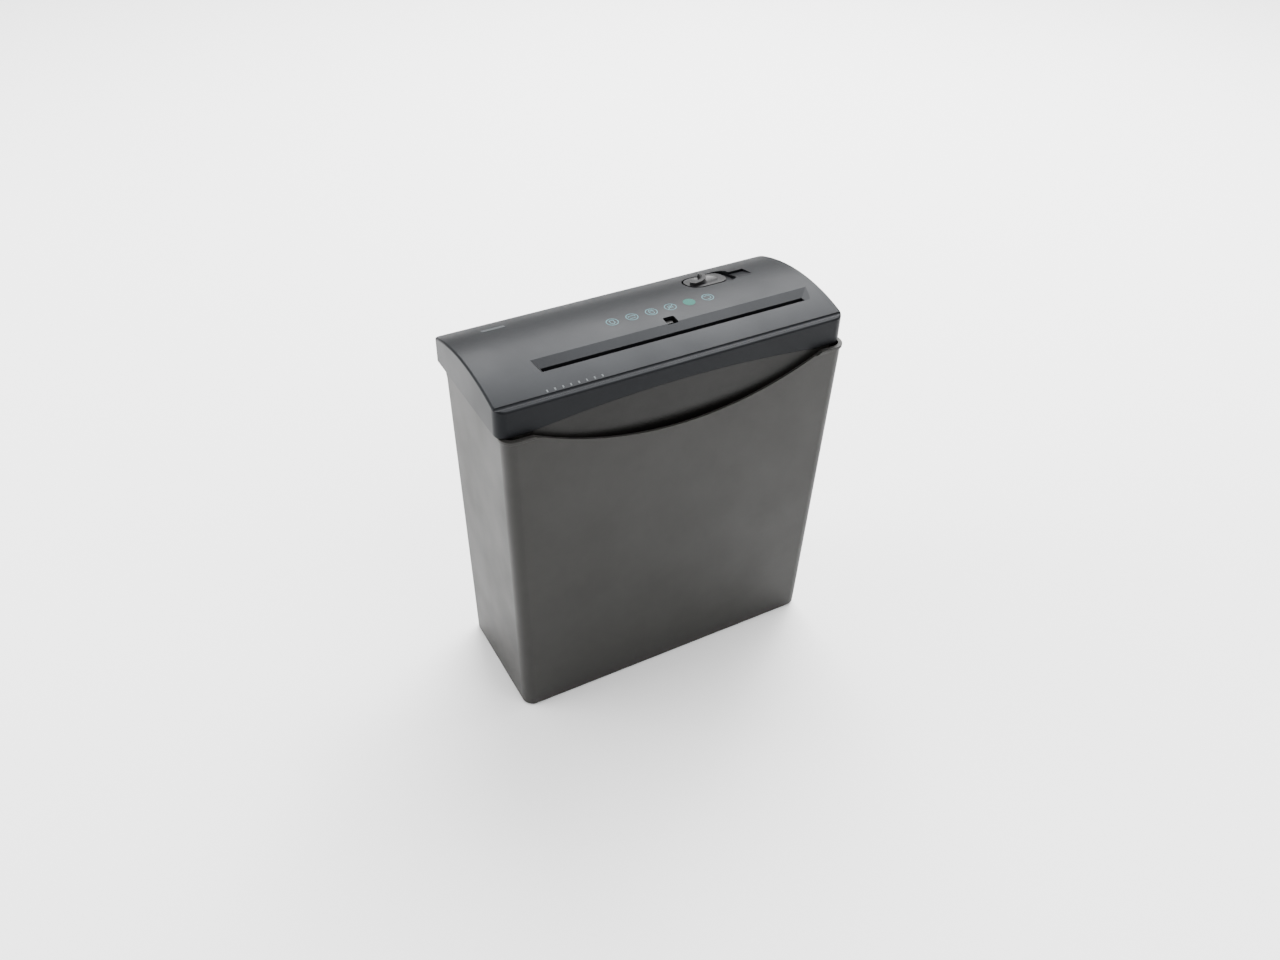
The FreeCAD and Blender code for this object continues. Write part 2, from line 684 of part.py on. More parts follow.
def throat_guide():
    """A sleeve that leads the paper from the throat to the cutters."""
    top = recess_floor_z()
    low = SHAFT_Z + DISC_R + 1.5
    wires_out = []
    wires_in = []
    for y, gap, z in ((SLOT_Y, GUIDE_TOP_GAP, top), (NIP_Y, GUIDE_LOW_GAP, low)):
        for wires, extra in ((wires_out, GUIDE_WALL), (wires_in, 0.0)):
            x0 = SLOT_LEFT - 0.6 - extra
            x1 = SLOT_RIGHT + 0.6 + extra
            y0 = y - gap / 2 - extra
            y1 = y + gap / 2 + extra
            points = [V(x0, y0, z), V(x1, y0, z), V(x1, y1, z), V(x0, y1, z)]
            wires.append(Part.makePolygon(points + points[:1]))
    sleeve = Part.makeLoft(wires_out, True, True).cut(Part.makeLoft(wires_in, True, True))
    notch = box(
        WELL_X - LEVER_T / 2 - 1,
        WELL_X + LEVER_T / 2 + 1,
        NIP_Y - 6,
        LEVER_Y,
        low - 1,
        LEVER_Z + 1.5,
    )
    rear_half = notch.cut(box(-200, 200, -200, NIP_Y - 4, 0, 400))
    return sleeve.cut(rear_half)


def cord_gland():
    """A rubber bush in the back skirt, where the mains cord would enter."""
    z = gland_z()
    back = HEAD_BACK + GLAND_PROUD
    seat = HEAD_BACK - 1
    inner = HEAD_BACK - COVER_WALL
    body = Part.makeCylinder(GLAND_R - 0.05, seat - inner + GLAND_IN, V(GLAND_X, inner - GLAND_IN, z), Y_AXIS)
    flange = Part.makeCylinder(GLAND_FLANGE_R - 0.1, back - seat, V(GLAND_X, seat, z), Y_AXIS)
    lock = Part.makeCylinder(GLAND_R + 1.2, 1.5, V(GLAND_X, inner - 1.6, z), Y_AXIS)
    bore = Part.makeCylinder(GLAND_BORE_R, 40, V(GLAND_X, inner - GLAND_IN - 5, z), Y_AXIS)
    return body.fuse([flange, lock]).cut(bore).removeSplitter()


# ---------------------------------------------------------------- cutter block
def plate_z0():
    return FLOOR_Z + 0.8


def plate_z1():
    return SHAFT_Z + 30


def rod_places():
    """The three tie rods: above the front shaft, and above and below the rear shaft."""
    return [
        (FRONT_SHAFT_Y - 12, SHAFT_Z + DISC_R + 7),
        (REAR_SHAFT_Y + DISC_R + 1, SHAFT_Z + DISC_R + 6),
        (REAR_SHAFT_Y + DISC_R + 3, SHAFT_Z - DISC_R - 3),
    ]


def shaft_places():
    return [(FRONT_SHAFT_Y, SHAFT_Z), (REAR_SHAFT_Y, SHAFT_Z)]


def plate_front(z):
    """The front edge of the side plates at height z, clear of the curved apron."""
    return apron_y(z, TUB_WALL) + 1.4


def side_plate(x0, back, top):
    z0 = plate_z0()
    knee = RIM_Z - APRON_DROP
    heights = (top, knee, (knee + z0) / 2)
    points = [(plate_front(z0), z0), (back, z0), (back, top)]
    points += [(plate_front(z), z) for z in heights]
    plate = outline_prism(points, x0, x0 + PLATE_T)
    holes = [rod(BUSH_R, x0 - 1, x0 + PLATE_T + 1, y, z) for y, z in shaft_places()]
    holes += [rod(SCREW_R + 0.1, x0 - 1, x0 + PLATE_T + 1, y, z) for y, z in rod_places()]
    return plate.cut(holes)


def left_side_plate():
    """Carries the cutters on one side and the motor and the gear pins on the other."""
    x0 = PLATE_OUT_X
    plate = side_plate(x0, TUB_BACK - TUB_WALL - 0.8, plate_z1())
    holes = []
    for y, z in gear_pin_places():
        holes.append(rod(PIN_R + 0.02, x0 - 1, x0 + PLATE_T + 1, y, z))
    for y, z in standoff_places():
        holes.append(rod(SCREW_R + 0.1, x0 - 1, x0 + PLATE_T + 1, y, z))
    for z in motor_screw_heights():
        holes.append(rod(SCREW_R + 0.1, x0 - 1, x0 + PLATE_T + 1, MOTOR_Y, z))
    holes.append(rod(5.2, x0 - 1, x0 + PLATE_T + 1, MOTOR_Y, MOTOR_Z_POS))
    return plate.cut(holes)


def motor_screw_heights():
    return MOTOR_Z_POS - MOTOR_SCREW_OUT, MOTOR_Z_POS + MOTOR_SCREW_OUT


def right_side_plate():
    return side_plate(RIGHT_PLATE_X, REAR_SHAFT_Y + DISC_R + 8, SHAFT_Z + DISC_R + 11)


def tie_rods():
    rods = []
    for y, z in rod_places():
        bar = rod(ROD_R, LEFT_PLATE_X, RIGHT_PLATE_X, y, z)
        holes = [
            rod(SCREW_R, LEFT_PLATE_X - 1, LEFT_PLATE_X + 9, y, z),
            rod(SCREW_R, RIGHT_PLATE_X - 9, RIGHT_PLATE_X + 1, y, z),
        ]
        rods.append(bar.cut(holes))
    return group(rods)


def plate_screw(face_x, direction, y, z, length):
    """A pan-head screw whose head sits on a face at face_x, with its shank along direction."""
    if direction > 0:
        shank = rod(SCREW_R - 0.02, face_x, face_x + length, y, z)
        head = rod(SCREW_HEAD_R, face_x - SCREW_HEAD_H, face_x, y, z)
        cut_x = (face_x - SCREW_HEAD_H - 1, face_x - SCREW_HEAD_H / 2)
    else:
        shank = rod(SCREW_R - 0.02, face_x - length, face_x, y, z)
        head = rod(SCREW_HEAD_R, face_x, face_x + SCREW_HEAD_H, y, z)
        cut_x = (face_x + SCREW_HEAD_H / 2, face_x + SCREW_HEAD_H + 1)
    slots = [
        box(cut_x[0], cut_x[1], y - 1.7, y + 1.7, z - 0.3, z + 0.3),
        box(cut_x[0], cut_x[1], y - 0.3, y + 0.3, z - 1.7, z + 1.7),
    ]
    return shank.fuse(head).cut(slots).removeSplitter()


def frame_screws():
    screws = []
    for y, z in rod_places():
        screws.append(plate_screw(PLATE_OUT_X, 1, y, z, PLATE_T + 8))
        screws.append(plate_screw(RIGHT_PLATE_X + PLATE_T, -1, y, z, PLATE_T + 8))
    return group(screws)


def shaft_bushes():
    bushes = []
    for y, z in shaft_places():
        for face, side in ((LEFT_PLATE_X, -1), (RIGHT_PLATE_X, 1)):
            flange = sorted((face, face - side * BUSH_FLANGE_T))
            sleeve = sorted((face, face + side * (PLATE_T + 0.3)))
            bush = rod(BUSH_FLANGE_R, flange[0], flange[1], y, z)
            bush = bush.fuse(rod(BUSH_R - 0.02, sleeve[0], sleeve[1], y, z))
            bore = rod(JOURNAL_R + RUN_FIT, flange[0] - 5, flange[1] + 5, y, z)
            bushes.append(bush.cut(bore).removeSplitter())
    return group(bushes)


def cutter_shaft(y, left_end):
    """A hexagonal shaft with a round journal at each end and a clip groove on the right."""
    hex_left = LEFT_PLATE_X + BUSH_FLANGE_T + 0.2
    hex_right = RIGHT_PLATE_X - BUSH_FLANGE_T - 0.2
    right_end = RIGHT_PLATE_X + PLATE_T + 1.9
    shaft = hexagon(HEX_AF, hex_left, hex_right, y, SHAFT_Z)
    shaft = shaft.fuse(rod(JOURNAL_R, left_end, hex_left + 1, y, SHAFT_Z))
    shaft = shaft.fuse(rod(JOURNAL_R, hex_right - 1, right_end, y, SHAFT_Z))
    groove_x = right_end - 1.5
    groove = ring(JOURNAL_R + 1, JOURNAL_R - 0.7, groove_x, groove_x + CLIP_T, y, SHAFT_Z)
    return shaft.cut(groove).removeSplitter()


def shaft_clip(y):
    """A snap ring, open at the bottom."""
    groove_x = RIGHT_PLATE_X + PLATE_T + 0.4
    clip = ring(CLIP_R, JOURNAL_R - 0.65, groove_x + 0.1, groove_x + CLIP_T - 0.1, y, SHAFT_Z)
    mouth = box(groove_x - 1, groove_x + 2, y - 2, y + 2, SHAFT_Z - CLIP_R - 1, SHAFT_Z)
    return clip.cut(mouth)


def disc_centres(count):
    first = SLOT_X - STRIP_W * (count - 1)
    return [first + DISC_PITCH * k for k in range(count)]


def cutter_discs(y, count):
    """Notched steel discs on the hexagonal shaft, one strip apart from the other shaft's."""
    disc = rod(DISC_R, -DISC_T / 2, DISC_T / 2, 0, 0)
    cuts = [hexagon(HEX_AF + 2 * HEX_FIT, -DISC_T, DISC_T, 0, 0)]
    for k in range(DISC_NOTCHES):
        a = 2 * math.pi * (k + 0.5) / DISC_NOTCHES
        cuts.append(rod(NOTCH_R, -DISC_T, DISC_T, DISC_R * math.cos(a), DISC_R * math.sin(a)))
    disc = disc.cut(cuts)
    return group([disc.translated(V(x, y, SHAFT_Z)) for x in disc_centres(count)])


def cutter_spacers(y, count):
    """Plastic rings that keep the discs apart, and one at each end of the shaft."""
    gap = 0.05
    starts = [LEFT_PLATE_X + BUSH_FLANGE_T + 0.2]
    ends = []
    for x in disc_centres(count):
        ends.append(x - DISC_T / 2 - gap)
        starts.append(x + DISC_T / 2 + gap)
    ends.append(RIGHT_PLATE_X - BUSH_FLANGE_T - 0.2)
    rings = []
    for x0, x1 in zip(starts, ends):
        blank = rod(SPACER_R, x0, x1, y, SHAFT_Z)
        rings.append(blank.cut(hexagon(HEX_AF + 2 * HEX_FIT, x0 - 1, x1 + 1, y, SHAFT_Z)))
    return group(rings)


def stripper_comb(y, count, finger_from, finger_to, bar_from, bar_to):
    """A bar outside the discs with a curved finger in each gap between them."""
    bar_in = DISC_R + COMB_BAR_GAP
    x0 = LEFT_PLATE_X
    bar = sector(bar_in + COMB_BAR_T, bar_in, x0, RIGHT_PLATE_X, y, SHAFT_Z, bar_from, bar_to)
    fingers = []
    centres = disc_centres(count)
    for a, b in zip(centres, centres[1:]):
        middle = (a + b) / 2
        span = (middle - FINGER_T / 2, middle + FINGER_T / 2)
        inner = SPACER_R + FINGER_GAP
        fingers.append(
            sector(FINGER_R, inner, span[0], span[1], y, SHAFT_Z, finger_from, finger_to)
        )
    return joined([bar] + fingers)


def front_stripper_comb():
    return stripper_comb(FRONT_SHAFT_Y, FRONT_DISCS, 160, 305, 225, 252)


def rear_stripper_comb():
    return stripper_comb(REAR_SHAFT_Y, REAR_DISCS, 235, 380, 288, 315)


# ------------------------------------------------------------------ gear train
def polar(y, z, radius, angle):
    return (y + radius * math.cos(angle), z + radius * math.sin(angle))


def second_gear_place():
    """The second compound gear, whose pinion drives the final wheel on the rear shaft."""
    distance = FINAL_M * (FINAL_Z + FINAL_PINION_Z) / 2
    return polar(REAR_SHAFT_Y, SHAFT_Z, distance, math.radians(SECOND_ANGLE))


def first_gear_place():
    """The first compound gear: in mesh with the second gear's wheel and the motor pinion."""
    ay, az = second_gear_place()
    ra = MID_M * (MID_Z + MID_PINION_Z) / 2
    rb = MOTOR_M * (MOTOR_Z + MOTOR_PINION_Z) / 2
    dy = MOTOR_Y - ay
    dz = MOTOR_Z_POS - az
    d = math.hypot(dy, dz)
    along = (ra * ra - rb * rb + d * d) / (2 * d)
    across = math.sqrt(ra * ra - along * along)
    return (ay + (along * dy - across * dz) / d, az + (along * dz + across * dy) / d)


def gear_pin_places():
    return [second_gear_place(), first_gear_place()]


def standoff_places():
    """Posts that carry the gearbox cover, clear of every wheel."""
    return [
        (FRONT_SHAFT_Y - 3, SHAFT_Z + 23),
        (TUB_BACK - TUB_WALL - 4.5, SHAFT_Z - 19),
        (REAR_SHAFT_Y + 30, SHAFT_Z - 20),
    ]


def involute(angle):
    return math.tan(angle) - angle


def gear_blank(module, teeth, addendum, x0, x1, y, z, phase):
    """A spur gear: each flank is one arc through three points of the involute."""
    pitch_r = module * teeth / 2
    base_r = pitch_r * math.cos(PRESSURE)
    tip_r = pitch_r + addendum * module
    root_r = pitch_r - 1.25 * module
    half = math.pi / (2 * teeth) - BACKLASH * module / (2 * pitch_r)

    def half_angle(radius):
        return half + involute(PRESSURE) - involute(math.acos(min(1.0, base_r / radius)))

    start_r = max(base_r, root_r)
    flank = [(r, half_angle(r)) for r in (start_r, (start_r + tip_r) / 2, tip_r)]

    def at(radius, angle):
        py, pz = polar(y, z, radius, angle)
        return V(x0, py, pz)

    edges = []
    step = 2 * math.pi / teeth
    for k in range(teeth):
        mid = phase + k * step
        rising = [at(r, mid - h) for r, h in flank]
        falling = [at(r, mid + h) for r, h in reversed(flank)]
        root_in = at(root_r, mid - flank[0][1])
        root_out = at(root_r, mid + flank[0][1])
        root_next = at(root_r, mid + step - flank[0][1])
        if base_r > root_r:
            edges.append(Part.makeLine(root_in, rising[0]))
        edges.append(Part.Arc(*rising).toShape())
        edges.append(Part.Arc(rising[2], at(tip_r, mid), falling[0]).toShape())
        edges.append(Part.Arc(*falling).toShape())
        if base_r > root_r:
            edges.append(Part.makeLine(falling[2], root_out))
        edges.append(Part.Arc(root_out, at(root_r, mid + step / 2), root_next).toShape())
    return Part.Face(Part.Wire(edges)).extrude(V(x1 - x0, 0, 0))


def mesh_phase(phase, teeth, place, other_teeth, other_place):
    """Phase of the second gear, so that one of its gaps meets a tooth of the first."""
    line = math.atan2(other_place[1] - place[1], other_place[0] - place[0])
    return line + math.pi + math.pi / other_teeth - (phase - line) * teeth / other_teeth


REAR_SHAFT = (REAR_SHAFT_Y, SHAFT_Z)
FRONT_SHAFT = (FRONT_SHAFT_Y, SHAFT_Z)
MOTOR_AXIS = (MOTOR_Y, MOTOR_Z_POS)
SECOND_GEAR = second_gear_place()
FIRST_GEAR = first_gear_place()
REAR_PHASE = 0.0
FRONT_PHASE = mesh_phase(REAR_PHASE, SYNC_Z, REAR_SHAFT, SYNC_Z, FRONT_SHAFT)
SECOND_PINION_PHASE = mesh_phase(REAR_PHASE, FINAL_Z, REAR_SHAFT, FINAL_PINION_Z, SECOND_GEAR)
SECOND_WHEEL_PHASE = 0.0
FIRST_PINION_PHASE = mesh_phase(SECOND_WHEEL_PHASE, MID_Z, SECOND_GEAR, MID_PINION_Z, FIRST_GEAR)
FIRST_WHEEL_PHASE = 0.0
MOTOR_PINION_PHASE = mesh_phase(FIRST_WHEEL_PHASE, MOTOR_Z, FIRST_GEAR, MOTOR_PINION_Z, MOTOR_AXIS)


def sync_gear(place, phase):
    """One of the equal gears that turn the two cutter shafts against each other."""
    y, z = place
    wheel = gear_blank(SYNC_M, SYNC_Z, WHEEL_ADDENDUM, SYNC_X - SYNC_T, SYNC_X, y, z, phase)
    return wheel.cut(rod(JOURNAL_R, SYNC_X - 50, SYNC_X + 50, y, z))


def lightened(wheel, x0, x1, y, z, hub_r, rim_r, depth):
    """A wheel with a thinner web between its hub and its rim."""
    left = ring(rim_r, hub_r, x0 - 1, x0 + depth, y, z)
    right = ring(rim_r, hub_r, x1 - depth, x1 + 1, y, z)
    return wheel.cut([left, right])


def final_drive_gear():
    y, z = REAR_SHAFT
    x0 = FINAL_X - FINAL_T
    wheel = gear_blank(FINAL_M, FINAL_Z, WHEEL_ADDENDUM, x0, FINAL_X, y, z, REAR_PHASE)
    rim = FINAL_M * FINAL_Z / 2 - 3.2
    wheel = lightened(wheel, x0, FINAL_X, y, z, JOURNAL_R + 3.5, rim, 1.8)
    return wheel.cut(rod(JOURNAL_R, x0 - 1, FINAL_X + 1, y, z))


def compound_gear(place, wheel, pinion, wheel_x, pinion_x, phases):
    """A wheel and a smaller pinion moulded in one piece, running on a fixed pin."""
    y, z = place
    wheel_m, wheel_z, wheel_t = wheel
    pinion_m, pinion_z, pinion_t = pinion
    disc = gear_blank(wheel_m, wheel_z, WHEEL_ADDENDUM, wheel_x - wheel_t, wheel_x, y, z, phases[0])
    rim = wheel_m * wheel_z / 2 - 2.8
    hub = pinion_m * pinion_z / 2 + 1.8
    disc = lightened(disc, wheel_x - wheel_t, wheel_x, y, z, hub, rim, 1.2)
    left = pinion_x - pinion_t - PINION_EXTRA
    leaves = gear_blank(pinion_m, pinion_z, PINION_ADDENDUM, left, wheel_x - wheel_t, y, z, phases[1])
    gear = disc.fuse(leaves)
    return gear.cut(rod(PIN_R + RUN_FIT, left - 50, wheel_x + 50, y, z))


def second_compound_gear():
    wheel = (MID_M, MID_Z, MID_T)
    pinion = (FINAL_M, FINAL_PINION_Z, FINAL_T)
    phases = (SECOND_WHEEL_PHASE, SECOND_PINION_PHASE)
    return compound_gear(SECOND_GEAR, wheel, pinion, MID_X, FINAL_X, phases)


def first_compound_gear():
    wheel = (MOTOR_M, MOTOR_Z, MOTOR_T)
    pinion = (MID_M, MID_PINION_Z, MID_T)
    phases = (FIRST_WHEEL_PHASE, FIRST_PINION_PHASE)
    return compound_gear(FIRST_GEAR, wheel, pinion, SYNC_X, MID_X, phases)


def gear_pins():
    pins = []
    for y, z in gear_pin_places():
        pins.append(rod(PIN_R, COVER_PLATE_X - COVER_PLATE_T, LEFT_PLATE_X, y, z))
    return group(pins)


def gearbox_cover():
    """The outer plate that carries the far ends of the gear pins and the rear shaft."""
    x1 = COVER_PLATE_X
    x0 = x1 - COVER_PLATE_T
    (fy, fz), (by, bz), (ly, lz) = standoff_places()
    gy, gz = FIRST_GEAR
    points = [
        (fy - 4, fz - 4), (REAR_SHAFT_Y - 4, SHAFT_Z - 12), (ly - 5, lz - 4), (ly + 5, lz - 4),
        (by + 3, bz - 4), (by + 3, bz + 5), (gy + 6, gz + 6), (gy - 6, gz + 6), (fy - 4, fz + 4),
    ]
    plate = outline_prism(points, x0, x1)
    holes = [rod(JOURNAL_R + RUN_FIT, x0 - 1, x1 + 1, REAR_SHAFT_Y, SHAFT_Z)]
    holes += [rod(PIN_R + 0.02, x0 - 1, x1 + 1, y, z) for y, z in gear_pin_places()]
    posts = [rod(STANDOFF_R, x1 - 0.2, PLATE_OUT_X, y, z) for y, z in standoff_places()]
    bores = [rod(1.2, x1 + 1, PLATE_OUT_X + 1, y, z) for y, z in standoff_places()]
    return plate.cut(holes).fuse(posts).cut(bores).removeSplitter()


def gearbox_screws():
    """Screws through the left plate into the gearbox cover's posts."""
    screws = []
    for y, z in standoff_places():
        shank = rod(1.18, PLATE_OUT_X - 7, LEFT_PLATE_X, y, z)
        head = rod(SCREW_HEAD_R, LEFT_PLATE_X, LEFT_PLATE_X + SCREW_HEAD_H, y, z)
        slot = box(LEFT_PLATE_X + 1, LEFT_PLATE_X + 3, y - 1.7, y + 1.7, z - 0.3, z + 0.3)
        screws.append(shank.fuse(head).cut(slot).removeSplitter())
    return group(screws)


# ----------------------------------------------------------------------- motor
def motor_cap_x():
    """Where the motor's can ends and its plastic end cap begins."""
    return LEFT_PLATE_X + CAN_L


def motor_can():
    y, z = MOTOR_AXIS
    x0 = LEFT_PLATE_X
    x1 = motor_cap_x()
    can = rod(CAN_R, x0, x1, y, z).cut(rod(CAN_R - CAN_T, x0 + CAN_T, x1 + 1, y, z))
    holes = [rod(4.4, x0 - 1, x0 + 3, y, z)]
    for screw_z in motor_screw_heights():
        holes.append(rod(SCREW_R, x0 - 1, x0 + 3, y, screw_z))
    vents = []
    for angle in (60, 120, 240, 300):
        vents.append(sector(CAN_R + 1, CAN_R - CAN_T - 1, x0 + 6, x0 + 12, y, z, angle - 10, angle + 10))
    return can.cut(holes + vents)


def motor_magnets():
    y, z = MOTOR_AXIS
    x0 = LEFT_PLATE_X + 8
    outer = CAN_R - CAN_T - 0.1
    arcs = []
    for middle in (0, 180):
        arcs.append(sector(outer, MAGNET_IN_R, x0, x0 + ARMATURE_L + 4, y, z, middle - 62, middle + 62))
    return group(arcs)


def motor_end_cap():
    """Moulded cap with the rear bearing seat and two brush holders."""
    y, z = MOTOR_AXIS
    x0 = motor_cap_x()
    x1 = x0 + CAP_L
    cap = rod(CAN_R - 0.3, x0, x1, y, z)
    cap = cap.cut(rod(CAN_R - 3, x0 - 1, x1 - 2, y, z))
    holders = []
    for side in (-1, 1):
        inner = COMMUTATOR_R + 1.2
        ends = sorted((y + side * inner, y + side * (CAN_R - 2.5)))
        holders.append(box(x0 + 0.2, x1 - 1, ends[0], ends[1], z - 3.2, z + 3.2))
    cap = cap.fuse(holders)
    cuts = [rod(4.4, x0, x1 + 1, y, z)]
    for side in (-1, 1):
        ends = sorted((y + side * COMMUTATOR_R, y + side * (CAN_R - 5)))
        cuts.append(box(x0 - 1, x0 + 3.2, ends[0], ends[1], z - 2.1, z + 2.1))
    return cap.cut(cuts).removeSplitter()


def motor_brushes():
    y, z = MOTOR_AXIS
    x0 = motor_cap_x()
    brushes = []
    for side in (-1, 1):
        ends = sorted((y + side * (COMMUTATOR_R + 0.25), y + side * (COMMUTATOR_R + 7)))
        brushes.append(box(x0 + 0.1, x0 + 3.1, ends[0], ends[1], z - 2, z + 2))
    return group(brushes)


def motor_bushes():
    """Sintered bearings in the can's nose and in the end cap."""
    y, z = MOTOR_AXIS
    cap_end = motor_cap_x() + CAP_L
    spans = ((LEFT_PLATE_X - 1.5, LEFT_PLATE_X + 3), (cap_end - 3, cap_end + 1))
    return group([ring(4.35, MOTOR_SHAFT_R + RUN_FIT, x0, x1, y, z) for x0, x1 in spans])


def motor_shaft():
    y, z = MOTOR_AXIS
    left = SYNC_X - MOTOR_T - 2 * PINION_EXTRA
    right = motor_cap_x() + CAP_L + FAN_L + 2.5
    return rod(MOTOR_SHAFT_R, left, right, y, z)


def motor_pinion():
    y, z = MOTOR_AXIS
    x0 = SYNC_X - MOTOR_T - PINION_EXTRA
    leaves = gear_blank(MOTOR_M, MOTOR_PINION_Z, PINION_ADDENDUM, x0, SYNC_X + PINION_EXTRA, y, z, MOTOR_PINION_PHASE)
    return leaves.cut(rod(MOTOR_SHAFT_R, x0 - 1, SYNC_X + 2, y, z))


def motor_armature():
    """The laminated core with its winding slots."""
    y, z = MOTOR_AXIS
    x0 = LEFT_PLATE_X + 10
    core = rod(ARMATURE_R, x0, x0 + ARMATURE_L, y, z)
    cuts = [rod(MOTOR_SHAFT_R, x0 - 1, x0 + ARMATURE_L + 1, y, z)]
    for k in range(ARMATURE_SLOTS):
        slot = box(x0 - 1, x0 + ARMATURE_L + 1, y + 6, y + ARMATURE_R + 1, z - 1.6, z + 1.6)
        slot.rotate(V(0, y, z), X_AXIS, 360 * (k + 0.5) / ARMATURE_SLOTS)
        cuts.append(slot)
    return core.cut(cuts)


def motor_windings():
    """Copper end turns on both faces of the core."""
    y, z = MOTOR_AXIS
    x0 = LEFT_PLATE_X + 10
    turns = []
    for start, end in ((x0 - 4, x0), (x0 + ARMATURE_L, x0 + ARMATURE_L + 4)):
        coil = ring(ARMATURE_R - 1.6, MOTOR_SHAFT_R + 1.2, start, end, y, z)
        rims = [e for e in coil.Edges if e.Length > 2 * math.pi * (ARMATURE_R - 2)]
        turns.append(coil.makeFillet(1.4, rims))
    return group(turns)


def motor_commutator():
    y, z = MOTOR_AXIS
    x0 = motor_cap_x() - 1.5
    drum = ring(COMMUTATOR_R, MOTOR_SHAFT_R, x0, x0 + COMMUTATOR_L, y, z)
    cuts = []
    for k in range(ARMATURE_SLOTS):
        cut = box(x0 - 1, x0 + COMMUTATOR_L + 1, y + COMMUTATOR_R - 0.6, y + COMMUTATOR_R + 1, z - 0.2, z + 0.2)
        cut.rotate(V(0, y, z), X_AXIS, 360 * k / ARMATURE_SLOTS)
        cuts.append(cut)
    return drum.cut(cuts)


def motor_fan():
    """A cooling fan pressed on the rear end of the motor's shaft."""
    y, z = MOTOR_AXIS
    x0 = motor_cap_x() + CAP_L + 1.8
    parts = [rod(FAN_R * 0.36, x0, x0 + FAN_L, y, z), rod(FAN_R, x0, x0 + 1.2, y, z)]
    for k in range(FAN_BLADES):
        blade = box(x0, x0 + FAN_L - 0.6, y + 2, y + FAN_R - 0.4, z - 0.6, z + 0.6)
        blade.rotate(V(0, y, z), X_AXIS, 360 * k / FAN_BLADES)
        parts.append(blade)
    fan = joined(parts)
    return fan.cut(rod(MOTOR_SHAFT_R, x0 - 1, x0 + FAN_L + 1, y, z))


def motor_screws():
    screws = []
    for z in motor_screw_heights():
        screws.append(plate_screw(PLATE_OUT_X, 1, MOTOR_Y, z, PLATE_T + 3.5))
    return group(screws)


# ---------------------------------------------------------------- slide switch
def mode_knob():
    """A thumb slide sunk in its pocket: a dished top with a curved, ribbed ridge, and a stem."""
    low = POCKET_DEPTH - (KNOB_PROUD + POCKET_DEPTH - KNOB_T)
    over = under_top(-KNOB_PROUD)
    plate = knob_plan(0, 0, SKIRT_Z, CROWN_Z + 5).common(over).cut(under_top(low))
    reach = KNOB_W / 2
    ball_r = (reach ** 2 + KNOB_DISH ** 2) / (2 * KNOB_DISH)
    dish_z = top_z(KNOB_Y) + KNOB_PROUD - KNOB_DISH
    slope = math.asin((KNOB_Y - CROWN_Y) / TOP_R)
    centre = V(KNOB_X, KNOB_Y + ball_r * math.sin(slope), dish_z + ball_r * math.cos(slope))
    plate = plate.cut(Part.makeSphere(ball_r, centre, X_AXIS))
    stem = box(
        KNOB_X - STEM_L / 2,
        KNOB_X + STEM_L / 2,
        KNOB_Y - STEM_W / 2,
        KNOB_Y + STEM_W / 2,
        carriage_z1(),
        dish_z - 1,
    )
    knob = plate.fuse(stem).fuse(grip_ridge())
    return knob.cut(grip_notches()).removeSplitter()


def grip_centre():
    """Centre of the grip's curve, behind and to the left of the knob."""
    return V(KNOB_X - 0.75 * GRIP_R, KNOB_Y + 0.55 * GRIP_R, SKIRT_Z)


def grip_ridge():
    tall = CROWN_Z + 10 - SKIRT_Z
    ridge = Part.makeCylinder(GRIP_R, tall, grip_centre())
    ridge = ridge.cut(Part.makeCylinder(GRIP_R - GRIP_W, tall, grip_centre()))
    ridge = ridge.common(knob_plan(-1.2, 0, SKIRT_Z, CROWN_Z + 10))
    return ridge.common(under_top(-KNOB_PROUD - GRIP_H)).cut(under_top(KNOB_T - 1))


def grip_notches():
    """Fine grooves across the back flank of the ridge."""
    notches = []
    for k in range(GRIP_NOTCHES):
        a = math.radians(-64 + 9 * k)
        reach = GRIP_R - GRIP_W
        centre = grip_centre()
        x = centre.x + reach * math.cos(a)
        y = centre.y + reach * math.sin(a)
        z0 = top_z(y) - KNOB_DISH / 2
        notch = box(x - 1.5, x + 1.5, y - 0.4, y + 0.4, z0, CROWN_Z + 20)
        notch.rotate(V(x, y, 0), Z_AXIS, math.degrees(a))
        notches.append(notch)
    return notches


def carriage_z1():
    return switch_top() - 0.4


def switch_top():
    """Top of the switch, just under the lowest part of the pocket's floor."""
    return top_z(KNOB_Y + SWITCH_W / 2) - POCKET_DEPTH - POCKET_FLOOR_T - 0.6


def switch_carriage():
    """The contact carrier that the knob's stem pushes."""
    z1 = carriage_z1()
    return box(KNOB_X - STEM_L / 2 - 2, KNOB_X + STEM_L / 2 + 2, KNOB_Y - 3.4, KNOB_Y + 3.4, z1 - 3, z1)


def switch_body():
    """The three-way slide switch under the cover, with its terminals."""
    top = switch_top()
    x0 = KNOB_X + KNOB_TRAVEL / 2 - SWITCH_L / 2
    body = box(x0, x0 + SWITCH_L, KNOB_Y - SWITCH_W / 2, KNOB_Y + SWITCH_W / 2, top - SWITCH_H, top)
    well_x0 = KNOB_X - STEM_L / 2 - 2.4
    well_x1 = KNOB_X + STEM_L / 2 + 2.4 + KNOB_TRAVEL
    body = body.cut(box(well_x0, well_x1, KNOB_Y - 3.8, KNOB_Y + 3.8, top - 3.8, top + 1))
    tabs = []
    for k in range(4):
        x = x0 + 6 + k * (SWITCH_L - 12) / 3
        tabs.append(box(x - 1.6, x + 1.6, KNOB_Y - 0.4, KNOB_Y + 0.4, top - SWITCH_H - 5, top - SWITCH_H + 1))
    return joined([body] + tabs)


